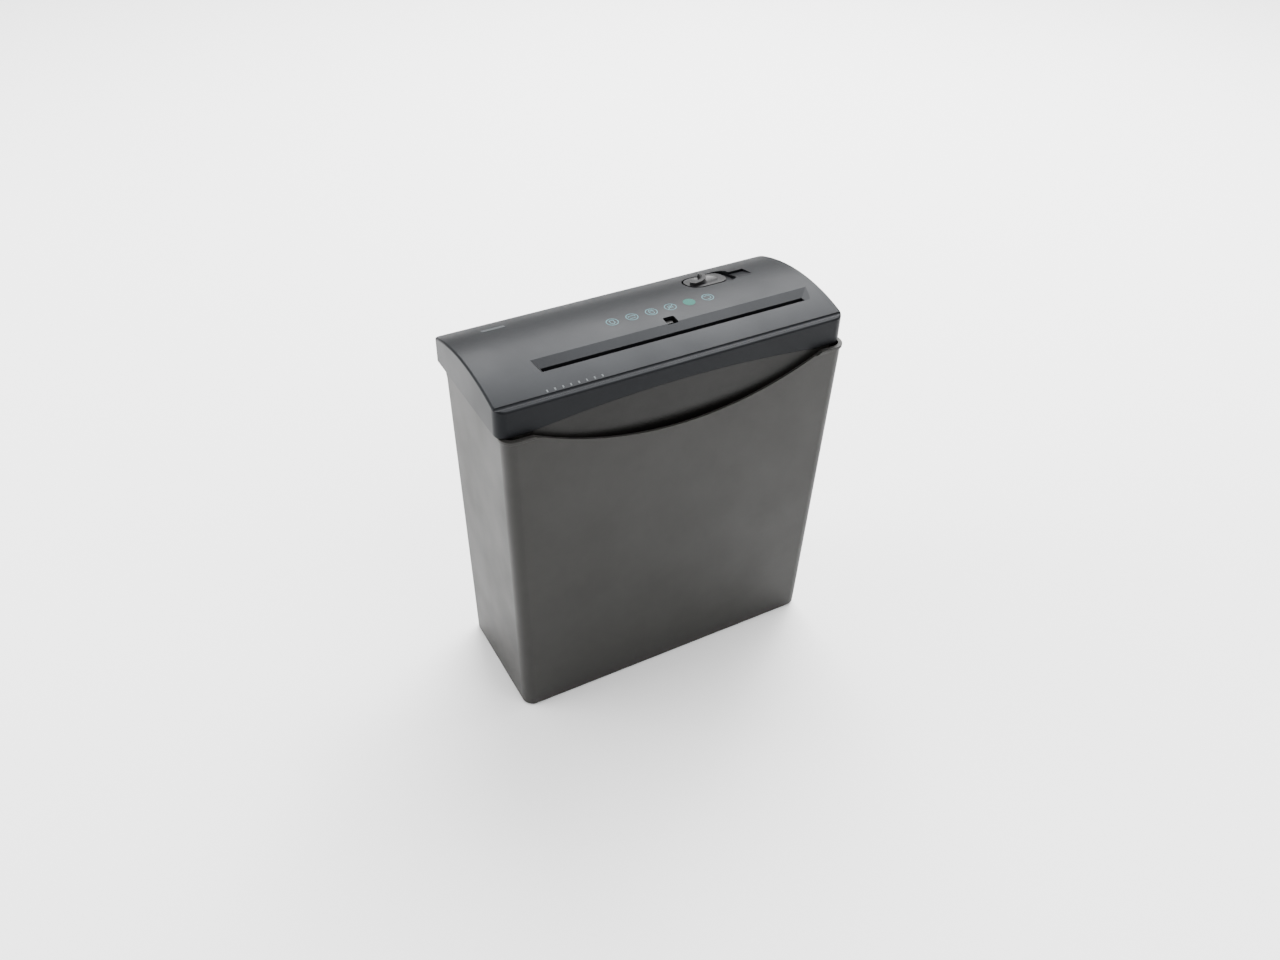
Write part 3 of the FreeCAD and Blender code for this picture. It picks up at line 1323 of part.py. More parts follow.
# ---------------------------------------------------------------- paper sensor
def paper_sensor_lever():
    """A lever whose arm crosses the paper's path; its tail rises towards the optical switch."""
    x0 = WELL_X - LEVER_T / 2
    x1 = WELL_X + LEVER_T / 2
    y, z = LEVER_Y, LEVER_Z
    hub = rod(LEVER_HUB_R, x0, x1, y, z)
    half = LEVER_ARM_T / 2
    tip = (y - LEVER_REACH_Y, z - LEVER_REACH_Z)
    arm = outline_prism([(y, z + half), (tip[0], tip[1] + half), (tip[0], tip[1] - half), (y, z - half)], x0, x1)
    nose = rod(half + 0.3, x0, x1, tip[0], tip[1])
    tail = box(x0, x1, y, y + TAIL_ARM + 2.5, z - half, z + half)
    flag = box(x0, x1, y - 0.8 - FLAG_T, y - 0.8, z, z + FLAG_H)
    lever = joined([hub, arm, nose, tail, flag])
    return lever.cut(rod(LEVER_PIN_R + RUN_FIT, x0 - 1, x1 + 1, y, z))


def bracket_faces():
    """Inner faces of the two cheeks that hold the lever's pin."""
    return WELL_X - LEVER_T / 2 - 0.6, WELL_X + LEVER_T / 2 + 3.4


def sensor_pin():
    left, right = bracket_faces()
    return rod(LEVER_PIN_R, left - 1.4, right + 1.4, LEVER_Y, LEVER_Z)


def tail_clear_z():
    return LEVER_Z + LEVER_HUB_R + TAIL_GAP


def sensor_bracket():
    """Moulded cheeks that carry the pin and the sensor switch, fixed behind the throat guide."""
    left, right = bracket_faces()
    z0 = LEVER_Z - 5
    z1 = tail_clear_z() + 2
    y0 = LEVER_Y - 2.6
    y1 = LEVER_Y + 10
    cheeks = [box(left - 1.4, left, y0, y1, z0, z1), box(right, right + 1.4, y0, y1, z0, z1)]
    cover_in = top_z(y1 - 1.4, COVER_WALL) - 0.02
    web = box(left - 1.4, right + 1.4, y1 - 1.4, y1, z0, cover_in)
    return joined(cheeks + [web]).cut(rod(LEVER_PIN_R + 0.02, left - 5, right + 5, LEVER_Y, LEVER_Z))


def sensor_switch():
    """A small optical switch on the bracket: its eye looks down at the lever's tail."""
    left, right = bracket_faces()
    z0 = tail_clear_z() + 2
    body = box(left - 1.4, right + 1.4, LEVER_Y - 0.5, LEVER_Y + 8.5, z0, z0 + 5)
    return body.cut(post(EYE_R + 0.1, WELL_X, LEVER_Y + TAIL_ARM, z0 - 1, z0 + 3))


def sensor_spring():
    """The torsion spring that returns the lever, wound round its pin."""
    x0 = WELL_X + LEVER_T / 2 + 0.4
    turns = 3
    pitch = 0.85
    wire_r = 0.3
    radius = LEVER_PIN_R + 0.85
    helix = Part.makeHelix(pitch, pitch * turns, radius)
    section = Part.Wire(Part.Circle(V(radius, 0, 0), Y_AXIS, wire_r).toShape())
    coil = Part.Wire(helix.Edges).makePipeShell([section], True, True)
    coil.rotate(V(0, 0, 0), V(1, 1, 1), 120)
    coil.translate(V(x0, LEVER_Y, LEVER_Z))
    return coil


# ------------------------------------------------------------------ electrics
def board_corner():
    return 12.0, REAR_SHAFT_Y + DISC_R + 12, FLOOR_Z + 4


def control_board():
    x, y, z = board_corner()
    board = box(x, x + BOARD_L, y, y + BOARD_W, z, z + BOARD_T)
    holes = [post(1.6, x + dx, y + dy, z - 1, z + 3) for dx, dy in board_holes()]
    return board.cut(holes)


def board_holes():
    return [(4, 4), (BOARD_L - 4, 4), (4, BOARD_W - 4), (BOARD_L - 4, BOARD_W - 4)]


def board_standoffs():
    """Brass posts between the housing's floor and the board."""
    x, y, z = board_corner()
    posts = []
    for dx, dy in board_holes():
        posts.append(post(2.6, x + dx, y + dy, FLOOR_Z, z).fuse(post(1.5, x + dx, y + dy, z, z + 3)))
    return group([p.removeSplitter() for p in posts])


def filter_capacitor():
    x, y, z = board_corner()
    case = box(x + 10, x + 28, y + 6, y + 14, z + BOARD_T, z + BOARD_T + 13)
    return case.makeFillet(0.8, [e for e in case.Edges if e.BoundBox.ZLength > 5])


def bridge_rectifier():
    x, y, z = board_corner()
    body = box(x + 34, x + 49, y + 5, y + 9, z + BOARD_T + 2.5, z + BOARD_T + 13)
    legs = []
    for k in range(4):
        lx = x + 36 + 3.6 * k
        legs.append(box(lx, lx + 0.8, y + 6.6, y + 7.4, z + BOARD_T, z + BOARD_T + 3))
    return joined([body] + legs)


def wire_terminals():
    """The screw terminals that the leads run to."""
    x, y, z = board_corner()
    blocks = []
    for k in range(4):
        bx = x + 10 + 9 * k
        block = box(bx, bx + 8.6, y + 19, y + 26, z + BOARD_T, z + BOARD_T + 8)
        block = block.cut(post(1.7, bx + 4.3, y + 22.5, z + BOARD_T + 5, z + 20))
        block = block.cut(
            Part.makeCylinder(LEAD_R + 0.2, 4, V(bx + 4.3, y + 23, z + BOARD_T + 3), Y_AXIS)
        )
        blocks.append(block)
    return group(blocks)


def thermal_cutout():
    """Opens the motor's circuit when the can gets hot."""
    y, z = MOTOR_AXIS
    x0 = LEFT_PLATE_X + 22
    body = box(x0, x0 + 16, y - 4, y + 4, z + CAN_R - 0.6, z + CAN_R + 3.4)
    return body.cut(rod(CAN_R + 0.05, x0 - 1, x0 + 17, y, z))


def terminal_mouth(k):
    """Where a lead enters terminal k."""
    x, y, z = board_corner()
    return V(x + 14.3 + 9 * k, y + 26, z + BOARD_T + 3)


def into_terminal(k):
    """The last two points of a lead: straight into the mouth of terminal k."""
    mouth = terminal_mouth(k)
    return [mouth + V(0, LEAD_BACK, 0), mouth - V(0, 1.5, 0)]


def motor_lead(k, side):
    y, z = MOTOR_AXIS
    mouth = terminal_mouth(k)
    start = V(motor_cap_x() + CAP_L, y + side * 5, z + CAN_R - 1.6)
    over = start + V(FAN_L + 9, 0, 0)
    down = V(over.x + 12 + 7 * k, mouth.y + LEAD_BACK - 1 + 2 * k, mouth.z + 19 + 4 * k)
    turn = V(mouth.x - 9 + 2 * k, mouth.y + LEAD_BACK, mouth.z + 4)
    return lead([start, over, down, turn] + into_terminal(k), LEAD_R)


def red_motor_lead():
    return motor_lead(0, -1)


def black_motor_lead():
    return motor_lead(1, 1)


def switch_lead(k):
    """A lead from one of the slide switch's tabs down to the board."""
    mouth = terminal_mouth(k)
    x0 = KNOB_X + KNOB_TRAVEL / 2 - SWITCH_L / 2 + 6 + (k - 2) * (SWITCH_L - 12) / 3
    start = V(x0, KNOB_Y, switch_top() - SWITCH_H - 5)
    below = start - V(0, 0, 10)
    turn = V(mouth.x + 4, mouth.y + LEAD_BACK, mouth.z + 7)
    return lead([start, below, turn] + into_terminal(k), LEAD_R)


def brown_switch_lead():
    return switch_lead(2)


def blue_switch_lead():
    return switch_lead(3)


PIECES = {
    "waste_basket": waste_basket,
    "top_cover": top_cover,
    "lower_housing": lower_housing,
    "housing_screws": housing_screws,
    "throat_guide": throat_guide,
    "cord_gland": cord_gland,
    "left_side_plate": left_side_plate,
    "right_side_plate": right_side_plate,
    "tie_rods": tie_rods,
    "frame_screws": frame_screws,
    "shaft_bushes": shaft_bushes,
    "front_cutter_shaft": lambda: cutter_shaft(FRONT_SHAFT_Y, SYNC_X - SYNC_T - 0.8),
    "rear_cutter_shaft": lambda: cutter_shaft(REAR_SHAFT_Y, COVER_PLATE_X - COVER_PLATE_T - 0.4),
    "front_cutter_discs": lambda: cutter_discs(FRONT_SHAFT_Y, FRONT_DISCS),
    "rear_cutter_discs": lambda: cutter_discs(REAR_SHAFT_Y, REAR_DISCS),
    "front_spacers": lambda: cutter_spacers(FRONT_SHAFT_Y, FRONT_DISCS),
    "rear_spacers": lambda: cutter_spacers(REAR_SHAFT_Y, REAR_DISCS),
    "front_shaft_clip": lambda: shaft_clip(FRONT_SHAFT_Y),
    "rear_shaft_clip": lambda: shaft_clip(REAR_SHAFT_Y),
    "front_stripper_comb": front_stripper_comb,
    "rear_stripper_comb": rear_stripper_comb,
    "front_sync_gear": lambda: sync_gear(FRONT_SHAFT, FRONT_PHASE),
    "rear_sync_gear": lambda: sync_gear(REAR_SHAFT, REAR_PHASE),
    "final_drive_gear": final_drive_gear,
    "second_compound_gear": second_compound_gear,
    "first_compound_gear": first_compound_gear,
    "gear_pins": gear_pins,
    "gearbox_cover": gearbox_cover,
    "gearbox_screws": gearbox_screws,
    "motor_can": motor_can,
    "motor_magnets": motor_magnets,
    "motor_end_cap": motor_end_cap,
    "motor_brushes": motor_brushes,
    "motor_bushes": motor_bushes,
    "motor_shaft": motor_shaft,
    "motor_pinion": motor_pinion,
    "motor_armature": motor_armature,
    "motor_windings": motor_windings,
    "motor_commutator": motor_commutator,
    "motor_fan": motor_fan,
    "motor_screws": motor_screws,
    "mode_knob": mode_knob,
    "switch_carriage": switch_carriage,
    "switch_body": switch_body,
    "paper_sensor_lever": paper_sensor_lever,
    "sensor_pin": sensor_pin,
    "sensor_bracket": sensor_bracket,
    "sensor_switch": sensor_switch,
    "sensor_spring": sensor_spring,
    "control_board": control_board,
    "board_standoffs": board_standoffs,
    "filter_capacitor": filter_capacitor,
    "bridge_rectifier": bridge_rectifier,
    "wire_terminals": wire_terminals,
    "thermal_cutout": thermal_cutout,
    "red_motor_lead": red_motor_lead,
    "black_motor_lead": black_motor_lead,
    "brown_switch_lead": brown_switch_lead,
    "blue_switch_lead": blue_switch_lead,
}


def main():
    os.makedirs("parts", exist_ok=True)
    for name, make in PIECES.items():
        side = SIDE_PLAY if name == "waste_basket" else -SIDE_PLAY
        shape = make().translated(V(side, 0, 0))
        print(f"{name}: {len(shape.Solids)} solids, {shape.Volume:.0f} mm3, valid {shape.isValid()}")
        shape.exportStep(f"parts/{name}.step")


main()
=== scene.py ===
# %% [markdown]
# A paper shredder on a waste basket, finished as a set of lessons.
# The engineering model comes first and stays as it is: every piece keeps its place and
# its shape. What we add here is what a camera sees: the camera itself, soft light, the
# finish of each material, and the small printed signs on the lid. All sizes are in
# metres, with X along the paper throat, Y towards the back and Z up.

# %% Load the fixed model
import json
import math

import bpy
import numpy as np
from mathutils import Matrix, Vector


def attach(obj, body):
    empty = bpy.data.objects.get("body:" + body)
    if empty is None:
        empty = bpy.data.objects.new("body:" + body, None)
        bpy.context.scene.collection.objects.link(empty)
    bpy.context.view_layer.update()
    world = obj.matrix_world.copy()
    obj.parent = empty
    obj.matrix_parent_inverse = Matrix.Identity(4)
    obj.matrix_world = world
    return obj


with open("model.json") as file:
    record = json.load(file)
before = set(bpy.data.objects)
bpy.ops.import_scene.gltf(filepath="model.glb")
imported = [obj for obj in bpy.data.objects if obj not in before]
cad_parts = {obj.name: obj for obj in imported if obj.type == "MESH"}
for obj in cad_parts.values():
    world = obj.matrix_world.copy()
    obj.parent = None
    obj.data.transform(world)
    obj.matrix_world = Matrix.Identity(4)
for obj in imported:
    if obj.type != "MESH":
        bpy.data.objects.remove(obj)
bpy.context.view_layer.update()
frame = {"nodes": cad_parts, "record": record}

NODES = frame["nodes"]
SLOT_OF = {s["node"]: s["material_slot"] for s in frame["record"]["subparts"]}
MM = 0.001

# %% [markdown]
# A camera is a place, a direction and a lens. The shredder is seen from the front left
# and from above, as someone standing at a desk sees it. The direction is given as a turn
# around the upright axis and a tilt down, and a small roll leans the view sideways.
# Building the rotation from three axes is clearer than guessing Euler angles: right, up
# and backwards, each at a right angle to the other two.

# %% The camera
CAMERA_AT = Vector((-364.3, -634.1, 738.3)) * MM
CAMERA_TURN = math.radians(-29.79)
CAMERA_TILT = math.radians(38.69)
CAMERA_ROLL = math.radians(1.70)
CAMERA_LENS = 32.35
CAMERA_REACH = 50


def camera_axes(turn, tilt, roll):
    """Right, up and backwards.

    Back is the view axis, turned about Z and then tilted. Right lies level, up is their
    cross product, and the roll turns right and up about back by its cosine and sine.
    """
    level = math.cos(tilt)
    back = Vector((math.sin(turn) * level, -math.cos(turn) * level, math.sin(tilt)))
    right = Vector((math.cos(turn), math.sin(turn), 0))
    up = back.cross(right)
    c, s = math.cos(roll), math.sin(roll)
    return c * right + s * up, c * up - s * right, back


camera = bpy.data.objects.new("camera", bpy.data.cameras.new("camera"))
bpy.context.scene.collection.objects.link(camera)
axes = camera_axes(CAMERA_TURN, CAMERA_TILT, CAMERA_ROLL)
camera.matrix_world = Matrix.Translation(CAMERA_AT) @ Matrix(axes).transposed().to_4x4()
camera.data.lens = CAMERA_LENS
camera.data.clip_end = CAMERA_REACH
bpy.context.scene.camera = camera
print("camera at", [round(v, 3) for v in CAMERA_AT], "lens", CAMERA_LENS)

# %% [markdown]
# The floor is a plain pale sheet. It does more than carry the shredder: dark satin
# plastic mirrors it, so its brightness decides how light the basket's walls look. A
# rough, weakly shining white keeps it even, with no reflection of the object in it.

# %% The floor
FLOOR_HALF = 6.0
FLOOR_WHITE = 0.93
FLOOR_ROUGHNESS = 0.9
FLOOR_SHINE = 0.1


def material(name):
    """A new material with its own node tree, and its main shader."""
    made = bpy.data.materials.new(name)
    made.use_nodes = True
    return made, made.node_tree.nodes["Principled BSDF"]


def new_mesh(name, points, faces):
    """An object at the origin whose vertices hold its place."""
    mesh = bpy.data.meshes.new(name)
    mesh.from_pydata(np.asarray(points, dtype=float).tolist(), [], faces)
    mesh.update()
    piece = bpy.data.objects.new(name, mesh)
    bpy.context.scene.collection.objects.link(piece)
    return piece


corners = np.array([(-1, -1, 0), (1, -1, 0), (1, 1, 0), (-1, 1, 0)]) * FLOOR_HALF
floor = new_mesh("floor", corners, [(0, 1, 2, 3)])
paper_white, floor_shader = material("pale_floor")
floor_shader.inputs["Base Color"].default_value = (FLOOR_WHITE, FLOOR_WHITE, FLOOR_WHITE, 1)
floor_shader.inputs["Roughness"].default_value = FLOOR_ROUGHNESS
floor_shader.inputs["Specular IOR Level"].default_value = FLOOR_SHINE
floor.data.materials.append(paper_white)
print("floor:", 2 * FLOOR_HALF, "m across")

# %% [markdown]
# Large, soft lights suit satin plastic, because a small lamp leaves hard spots on it. One
# panel stands behind the left end, so that end is the brightest side. One stands high
# behind, where the curved lid mirrors it, and three more wash the floor. The surroundings
# stay weak, so that the front, which faces away from the two main lamps, is dark.

# %% Soft light
LAMPS = {
    # name: where it stands, where it points, its width, its power in watts
    "left_panel": ((-1.9, 0.75, 0.8), (0, 0, 0.2), 1.3, 66),
    "back_panel": ((0.88, 1.30, 2.05), (0, 0, 0.28), 1.9, 205),
    "floor_wash_left": ((-1.6, 2.2, 2.2), (-1.6, 2.6, 0), 2.2, 80),
    "floor_wash_right": ((1.9, 0.4, 2.2), (2.0, 0.6, 0), 2.0, 110),
    "floor_wash_front": ((0.7, -1.5, 1.9), (0.7, -1.3, 0), 1.6, 50),
}
SURROUND_WHITE = (1, 1, 1, 1)
SURROUND_STRENGTH = 0.42


def panel(name, at, aim, size, power):
    """A square soft light at one point, facing another."""
    light = bpy.data.lights.new(name, "AREA")
    light.size = size
    light.energy = power
    lamp = bpy.data.objects.new(name, light)
    bpy.context.scene.collection.objects.link(lamp)
    lamp.location = at
    lamp.rotation_euler = (Vector(aim) - Vector(at)).to_track_quat("-Z", "Y").to_euler()


for lamp_name, settings in LAMPS.items():
    panel(lamp_name, *settings)
studio = bpy.data.worlds.new("studio")
bpy.context.scene.world = studio
studio.use_nodes = True
surround = studio.node_tree.nodes["Background"]
surround.inputs["Color"].default_value = SURROUND_WHITE
surround.inputs["Strength"].default_value = SURROUND_STRENGTH
print("soft lights:", len(LAMPS))

# %% [markdown]
# Every finish below is built from the same few node groups, so they come first. A noise
# read from Object coordinates stays fixed to its piece when the piece moves. A map range
# turns it into a roughness, a colour ramp turns it into a colour, and a bump node turns
# it into small tilts of the surface. Image textures could do the same, but they need
# files and unwrapping, and a formula stays sharp at any distance.

# %% Patterns for the finishes
NOISE_LOW, NOISE_HIGH = 0.3, 0.7    # a noise seldom leaves this range


def noise(tree, size, detail=2.0, stretch=(1, 1, 1)):
    """A noise whose blobs are about the given size across, stretched along the axes."""
    place = tree.nodes.new("ShaderNodeTexCoord")
    scale = tree.nodes.new("ShaderNodeMapping")
    scale.inputs["Scale"].default_value = [1 / k for k in stretch]
    made = tree.nodes.new("ShaderNodeTexNoise")
    made.inputs["Scale"].default_value = 1 / size
    made.inputs["Detail"].default_value = detail
    tree.links.new(place.outputs["Object"], scale.inputs["Vector"])
    tree.links.new(scale.outputs["Vector"], made.inputs["Vector"])
    return made.outputs["Fac"]


def between(tree, driver, low, high):
    """The driver's usual range, spread between two values."""
    made = tree.nodes.new("ShaderNodeMapRange")
    made.inputs["From Min"].default_value = NOISE_LOW
    made.inputs["From Max"].default_value = NOISE_HIGH
    made.inputs["To Min"].default_value = low
    made.inputs["To Max"].default_value = high
    tree.links.new(driver, made.inputs["Value"])
    return made.outputs["Result"]


def mix_colours(tree, driver, dark, light):
    """One colour where the driver is low and another where it is high."""
    made = tree.nodes.new("ShaderNodeValToRGB")
    stops = made.color_ramp.elements
    stops[0].position, stops[1].position = NOISE_LOW, NOISE_HIGH
    stops[0].color, stops[1].color = (*dark, 1), (*light, 1)
    tree.links.new(driver, made.inputs["Fac"])
    return made.outputs["Color"]


def uneven_colour(tree, driver, colour, uneven):
    """A colour times one less and one plus a share, mixed by the driver."""
    dark = [c * (1 - uneven) for c in colour]
    light = [min(1, c * (1 + uneven)) for c in colour]
    return mix_colours(tree, driver, dark, light)


def bump(tree, shader, height, depth, strength=1.0, after=None):
    """Tilts the surface's shading by a height, given its depth in metres."""
    made = tree.nodes.new("ShaderNodeBump")
    made.inputs["Strength"].default_value = strength
    made.inputs["Distance"].default_value = depth
    tree.links.new(height, made.inputs["Height"])
    if after is not None:
        tree.links.new(after, made.inputs["Normal"])
    tree.links.new(made.outputs["Normal"], shader.inputs["Normal"])
    return made.outputs["Normal"]


print("patterns: noise, between, mix_colours, uneven_colour, bump")

# %% [markdown]
# Moulded plastic is never one flat colour. The mould's spark-eroded face leaves a fine
# grain that scatters light, the pigment is slightly uneven, and handling polishes some
# areas more than others. Noises of different sizes give that: two fine ones for the
# bump, a middle one for the colour and a wide one for the gloss.

# %% Moulded plastic
PIGMENT_CLOUD = 9 * MM
POLISHED_AREA = 45 * MM
POLISH = 0.04
COARSE_GRAIN = 4            # times the fine grain's size
COARSE_DEPTH = 2            # times the fine grain's depth
COARSE_STRENGTH = 0.5


def plastic(name, colour, gloss, grain=0.6 * MM, depth=0.03 * MM, uneven=0.08, shine=0.35):
    """A moulded plastic: grain in the bump, cloudy pigment, and gloss that varies."""
    made, shader = material(name)
    shader.inputs["Specular IOR Level"].default_value = shine
    tree = made.node_tree
    pigment = uneven_colour(tree, noise(tree, PIGMENT_CLOUD, 3), colour, uneven)
    tree.links.new(pigment, shader.inputs["Base Color"])
    polish = between(tree, noise(tree, POLISHED_AREA, 2), gloss - POLISH, gloss + POLISH)
    tree.links.new(polish, shader.inputs["Roughness"])
    coarse_noise = noise(tree, grain * COARSE_GRAIN, 2)
    coarse = bump(tree, shader, coarse_noise, depth * COARSE_DEPTH, COARSE_STRENGTH)
    bump(tree, shader, noise(tree, grain, 2), depth, 1.0, coarse)
    return made


print("plastic: pigment clouds of", PIGMENT_CLOUD, "m")

# %% [markdown]
# The casing is four plastics. The basket is a warm charcoal with a coarse grain, the lid
# a darker and finer satin, the tub under it rougher, and the knob smoother where fingers
# rub it. The lid's highlights are slightly blue, which a specular tint gives without
# touching its base colour. The guide in the throat is near black as painted shade, so
# the slot reads deep.

# %% Casing plastics
LID_TINT = (0.88, 0.93, 1.0, 1)
FINISH = {
    "basket_plastic": plastic("basket_grain", (0.0195, 0.0188, 0.0174), gloss=0.50,
                              grain=0.7 * MM, depth=0.03 * MM, uneven=0.03, shine=0.20),
    "cover_plastic": plastic("lid_satin", (0.0062, 0.0065, 0.0073), gloss=0.40,
                             grain=0.5 * MM, depth=0.015 * MM, uneven=0.03, shine=0.085),
    "housing_plastic": plastic("tub_dark", (0.0085, 0.0082, 0.0076), gloss=0.45, shine=0.16),
    "knob_plastic": plastic("knob_satin", (0.010, 0.010, 0.0105), gloss=0.34,
                            grain=0.4 * MM, depth=0.01 * MM, shine=0.25),
    # the guide's near-black colour is painted shade that makes the throat look deep
    "guide_plastic": plastic("guide_painted_shade_black", (0.004, 0.004, 0.004), gloss=0.5, shine=0.1),
    "gland_rubber": plastic("gland_rubber", (0.012, 0.012, 0.012), gloss=0.62,
                            grain=0.9 * MM, depth=0.05 * MM),
}
lid_shader = FINISH["cover_plastic"].node_tree.nodes["Principled BSDF"]
lid_shader.inputs["Specular Tint"].default_value = LID_TINT
print("casing plastics:", len(FINISH))

# %% [markdown]
# The works inside use engineering plastics: grey combs, black spacers and caps, a pale fan
# and milky nylon gears. The gears are the smoothest, because their teeth come from a
# polished mould.

# %% Plastics of the works
FINISH.update(
    comb_plastic=plastic("comb_grey", (0.040, 0.040, 0.043), gloss=0.48),
    spacer_plastic=plastic("spacer_black", (0.022, 0.022, 0.022), gloss=0.42),
    sensor_plastic=plastic("sensor_grey", (0.022, 0.022, 0.023), gloss=0.4, shine=0.2),
    switch_plastic=plastic("switch_black", (0.015, 0.015, 0.017), gloss=0.4),
    motor_cap_plastic=plastic("cap_black", (0.020, 0.020, 0.020), gloss=0.45),
    fan_plastic=plastic("fan_white", (0.62, 0.61, 0.58), gloss=0.4),
    gear_nylon=plastic("gear_nylon", (0.70, 0.68, 0.60), gloss=0.32,
                       grain=0.9 * MM, depth=0.01 * MM, uneven=0.04),
)
print("plastics so far:", len(FINISH))

# %% [markdown]
# Electric parts are told apart by colour: a yellow capacitor, black epoxy, green
# terminals, tan board laminate, dark ferrite and carbon, and leads in red, black, brown
# and blue. Each is the same moulded finish with its own grain.

# %% Finishes of the electrics
FINISH.update(
    capacitor_case=plastic("capacitor_yellow", (0.50, 0.36, 0.03), gloss=0.3),
    rectifier_case=plastic("moulded_epoxy", (0.012, 0.012, 0.012), gloss=0.5),
    terminal_plastic=plastic("terminal_green", (0.03, 0.16, 0.05), gloss=0.42),
    carbon=plastic("pressed_carbon", (0.012, 0.012, 0.012), gloss=0.6,
                   grain=0.3 * MM, depth=0.03 * MM),
    red_wire=plastic("red_insulation", (0.42, 0.010, 0.008), gloss=0.3),
    black_wire=plastic("black_insulation", (0.010, 0.010, 0.010), gloss=0.3),
    brown_wire=plastic("brown_insulation", (0.09, 0.035, 0.012), gloss=0.3),
    blue_wire=plastic("blue_insulation", (0.008, 0.035, 0.26), gloss=0.3),
    board_laminate=plastic("board_laminate", (0.30, 0.19, 0.06), gloss=0.45,
                           grain=1.2 * MM, depth=0.02 * MM, uneven=0.12),
    ferrite=plastic("ferrite", (0.025, 0.025, 0.028), gloss=0.55,
                    grain=0.7 * MM, depth=0.05 * MM),
)
print("plastics in all:", len(FINISH))

# %% [markdown]
# Turned and ground steel shows lines where the tool passed, so its noise is stretched:
# very short across the lines and long along them. The same lines drive both the
# roughness and the bump, which is why they catch the light together. Zinc plating adds
# cloudy patches instead of lines.

# %% Metals
METAL_PATCH = 6 * MM
LINE_DEPTH = 0.015 * MM
SMOOTHER, ROUGHER = 0.08, 0.10    # how far the lines move the roughness either way
ACROSS_X = (1, 12, 12)
ALONG_X = (14, 1, 1)
EVEN = (1, 1, 1)


def metal(name, colour, gloss, stretch, uneven=0.12, line=0.35 * MM):
    """A machined metal: stretched lines in its roughness and bump, patches in its colour."""
    made, shader = material(name)
    tree = made.node_tree
    shader.inputs["Metallic"].default_value = 1.0
    patches = uneven_colour(tree, noise(tree, METAL_PATCH, 4), colour, uneven)
    tree.links.new(patches, shader.inputs["Base Color"])
    lines = noise(tree, line, 3, stretch)
    tool_marks = between(tree, lines, gloss - SMOOTHER, gloss + ROUGHER)
    tree.links.new(tool_marks, shader.inputs["Roughness"])
    bump(tree, shader, lines, LINE_DEPTH)
    return made


FINISH.update(
    cutter_steel=metal("ground_cutter", (0.42, 0.42, 0.43), 0.34, ACROSS_X),
    shaft_steel=metal("turned_shaft", (0.50, 0.50, 0.51), 0.28, ACROSS_X),
    plate_steel=metal("zinc_plate", (0.52, 0.53, 0.55), 0.42, EVEN, 0.2, 2.5 * MM),
    screw_steel=metal("zinc_screw", (0.56, 0.56, 0.55), 0.3, EVEN),
    motor_steel=metal("zinc_can", (0.50, 0.50, 0.52), 0.36, ALONG_X),
    core_steel=metal("core_laminations", (0.30, 0.30, 0.32), 0.4, ACROSS_X, 0.15, 0.5 * MM),
    sintered_bronze=metal("sintered_bronze", (0.42, 0.26, 0.13), 0.48, EVEN, 0.2, 0.3 * MM),
    brass_post=metal("turned_brass", (0.62, 0.45, 0.16), 0.28, EVEN),
    copper=metal("enamelled_copper", (0.62, 0.22, 0.09), 0.3, ACROSS_X, 0.15, 0.6 * MM),
)
print("finishes with the metals:", len(FINISH))

# %% [markdown]
# The record names a material slot for each piece, so the finishes are handed out in one
# loop. Assigning to the slots leaves every mesh as it was made, and a piece without a
# slot gets one.

# %% Every piece gets its finish
for name, node in NODES.items():
    finish = FINISH[SLOT_OF[name]]
    if not node.material_slots:
        node.data.materials.append(finish)
    for slot in node.material_slots:
        slot.material = finish
print("finished", len(NODES), "pieces in", len(FINISH), "materials")

# %% [markdown]
# The signs on the lid are printed ink, a few hundredths of a millimetre thick. They could
# be painted with a mask in the lid's material, but a thin solid of ink has crisp edges at
# any distance and moves with the lid. The lid's top is part of a round barrel that lies
# along X, so a point's height follows from its distance to the crown line.

# %% The lid's curved top as a formula
CROWN_Y = -0.5 * MM
TOP_RADIUS = 160.0 * MM
CROWN_Z = 306.7 * MM
THROAT_Y = -26.8 * MM
HEAD_SHIFT = -0.9 * MM
INK = 0.05 * MM


def lid_height(y):
    """Height of the lid.

    The crown's height, less the radius, plus the root of the radius squared less the
    distance to the crown line squared.
    """
    return CROWN_Z - TOP_RADIUS + np.sqrt(TOP_RADIUS**2 - (y - CROWN_Y) ** 2)


def on_lid(x, y, lift):
    """Points over the lid: x moved with the head, y, and the lid's height plus a lift."""
    return np.stack([x + HEAD_SHIFT, y, lid_height(y) + lift], axis=-1)


crown_and_throat = lid_height(np.array([CROWN_Y, THROAT_Y]))
print("lid height at the crown and at the throat:", crown_and_throat)

# %% [markdown]
# Two shapes of ink are enough for every sign. A line is a flat rectangle carried along a
# path, and a filled spot is a set of rings that shrink towards its middle, so that it
# bends with the lid instead of cutting through it. Both are closed solids that sink
# slightly into the plastic, because two surfaces at the same height would flicker.

# %% Lines and patches of ink
PATCH_RINGS = np.linspace(1.0, 0.25, 4)    # each ring's share of the outline's size


def grid_faces(rows, columns, wrap_rows=False, wrap_columns=False):
    """Quads between neighbours of a grid, which may close on itself in either direction."""
    index = np.arange(rows * columns).reshape(rows, columns)
    if wrap_rows:
        index = np.vstack([index, index[:1]])
    if wrap_columns:
        index = np.hstack([index, index[:, :1]])
    quads = [index[:-1, :-1], index[:-1, 1:], index[1:, 1:], index[1:, :-1]]
    return np.stack([q.ravel() for q in quads], axis=1)


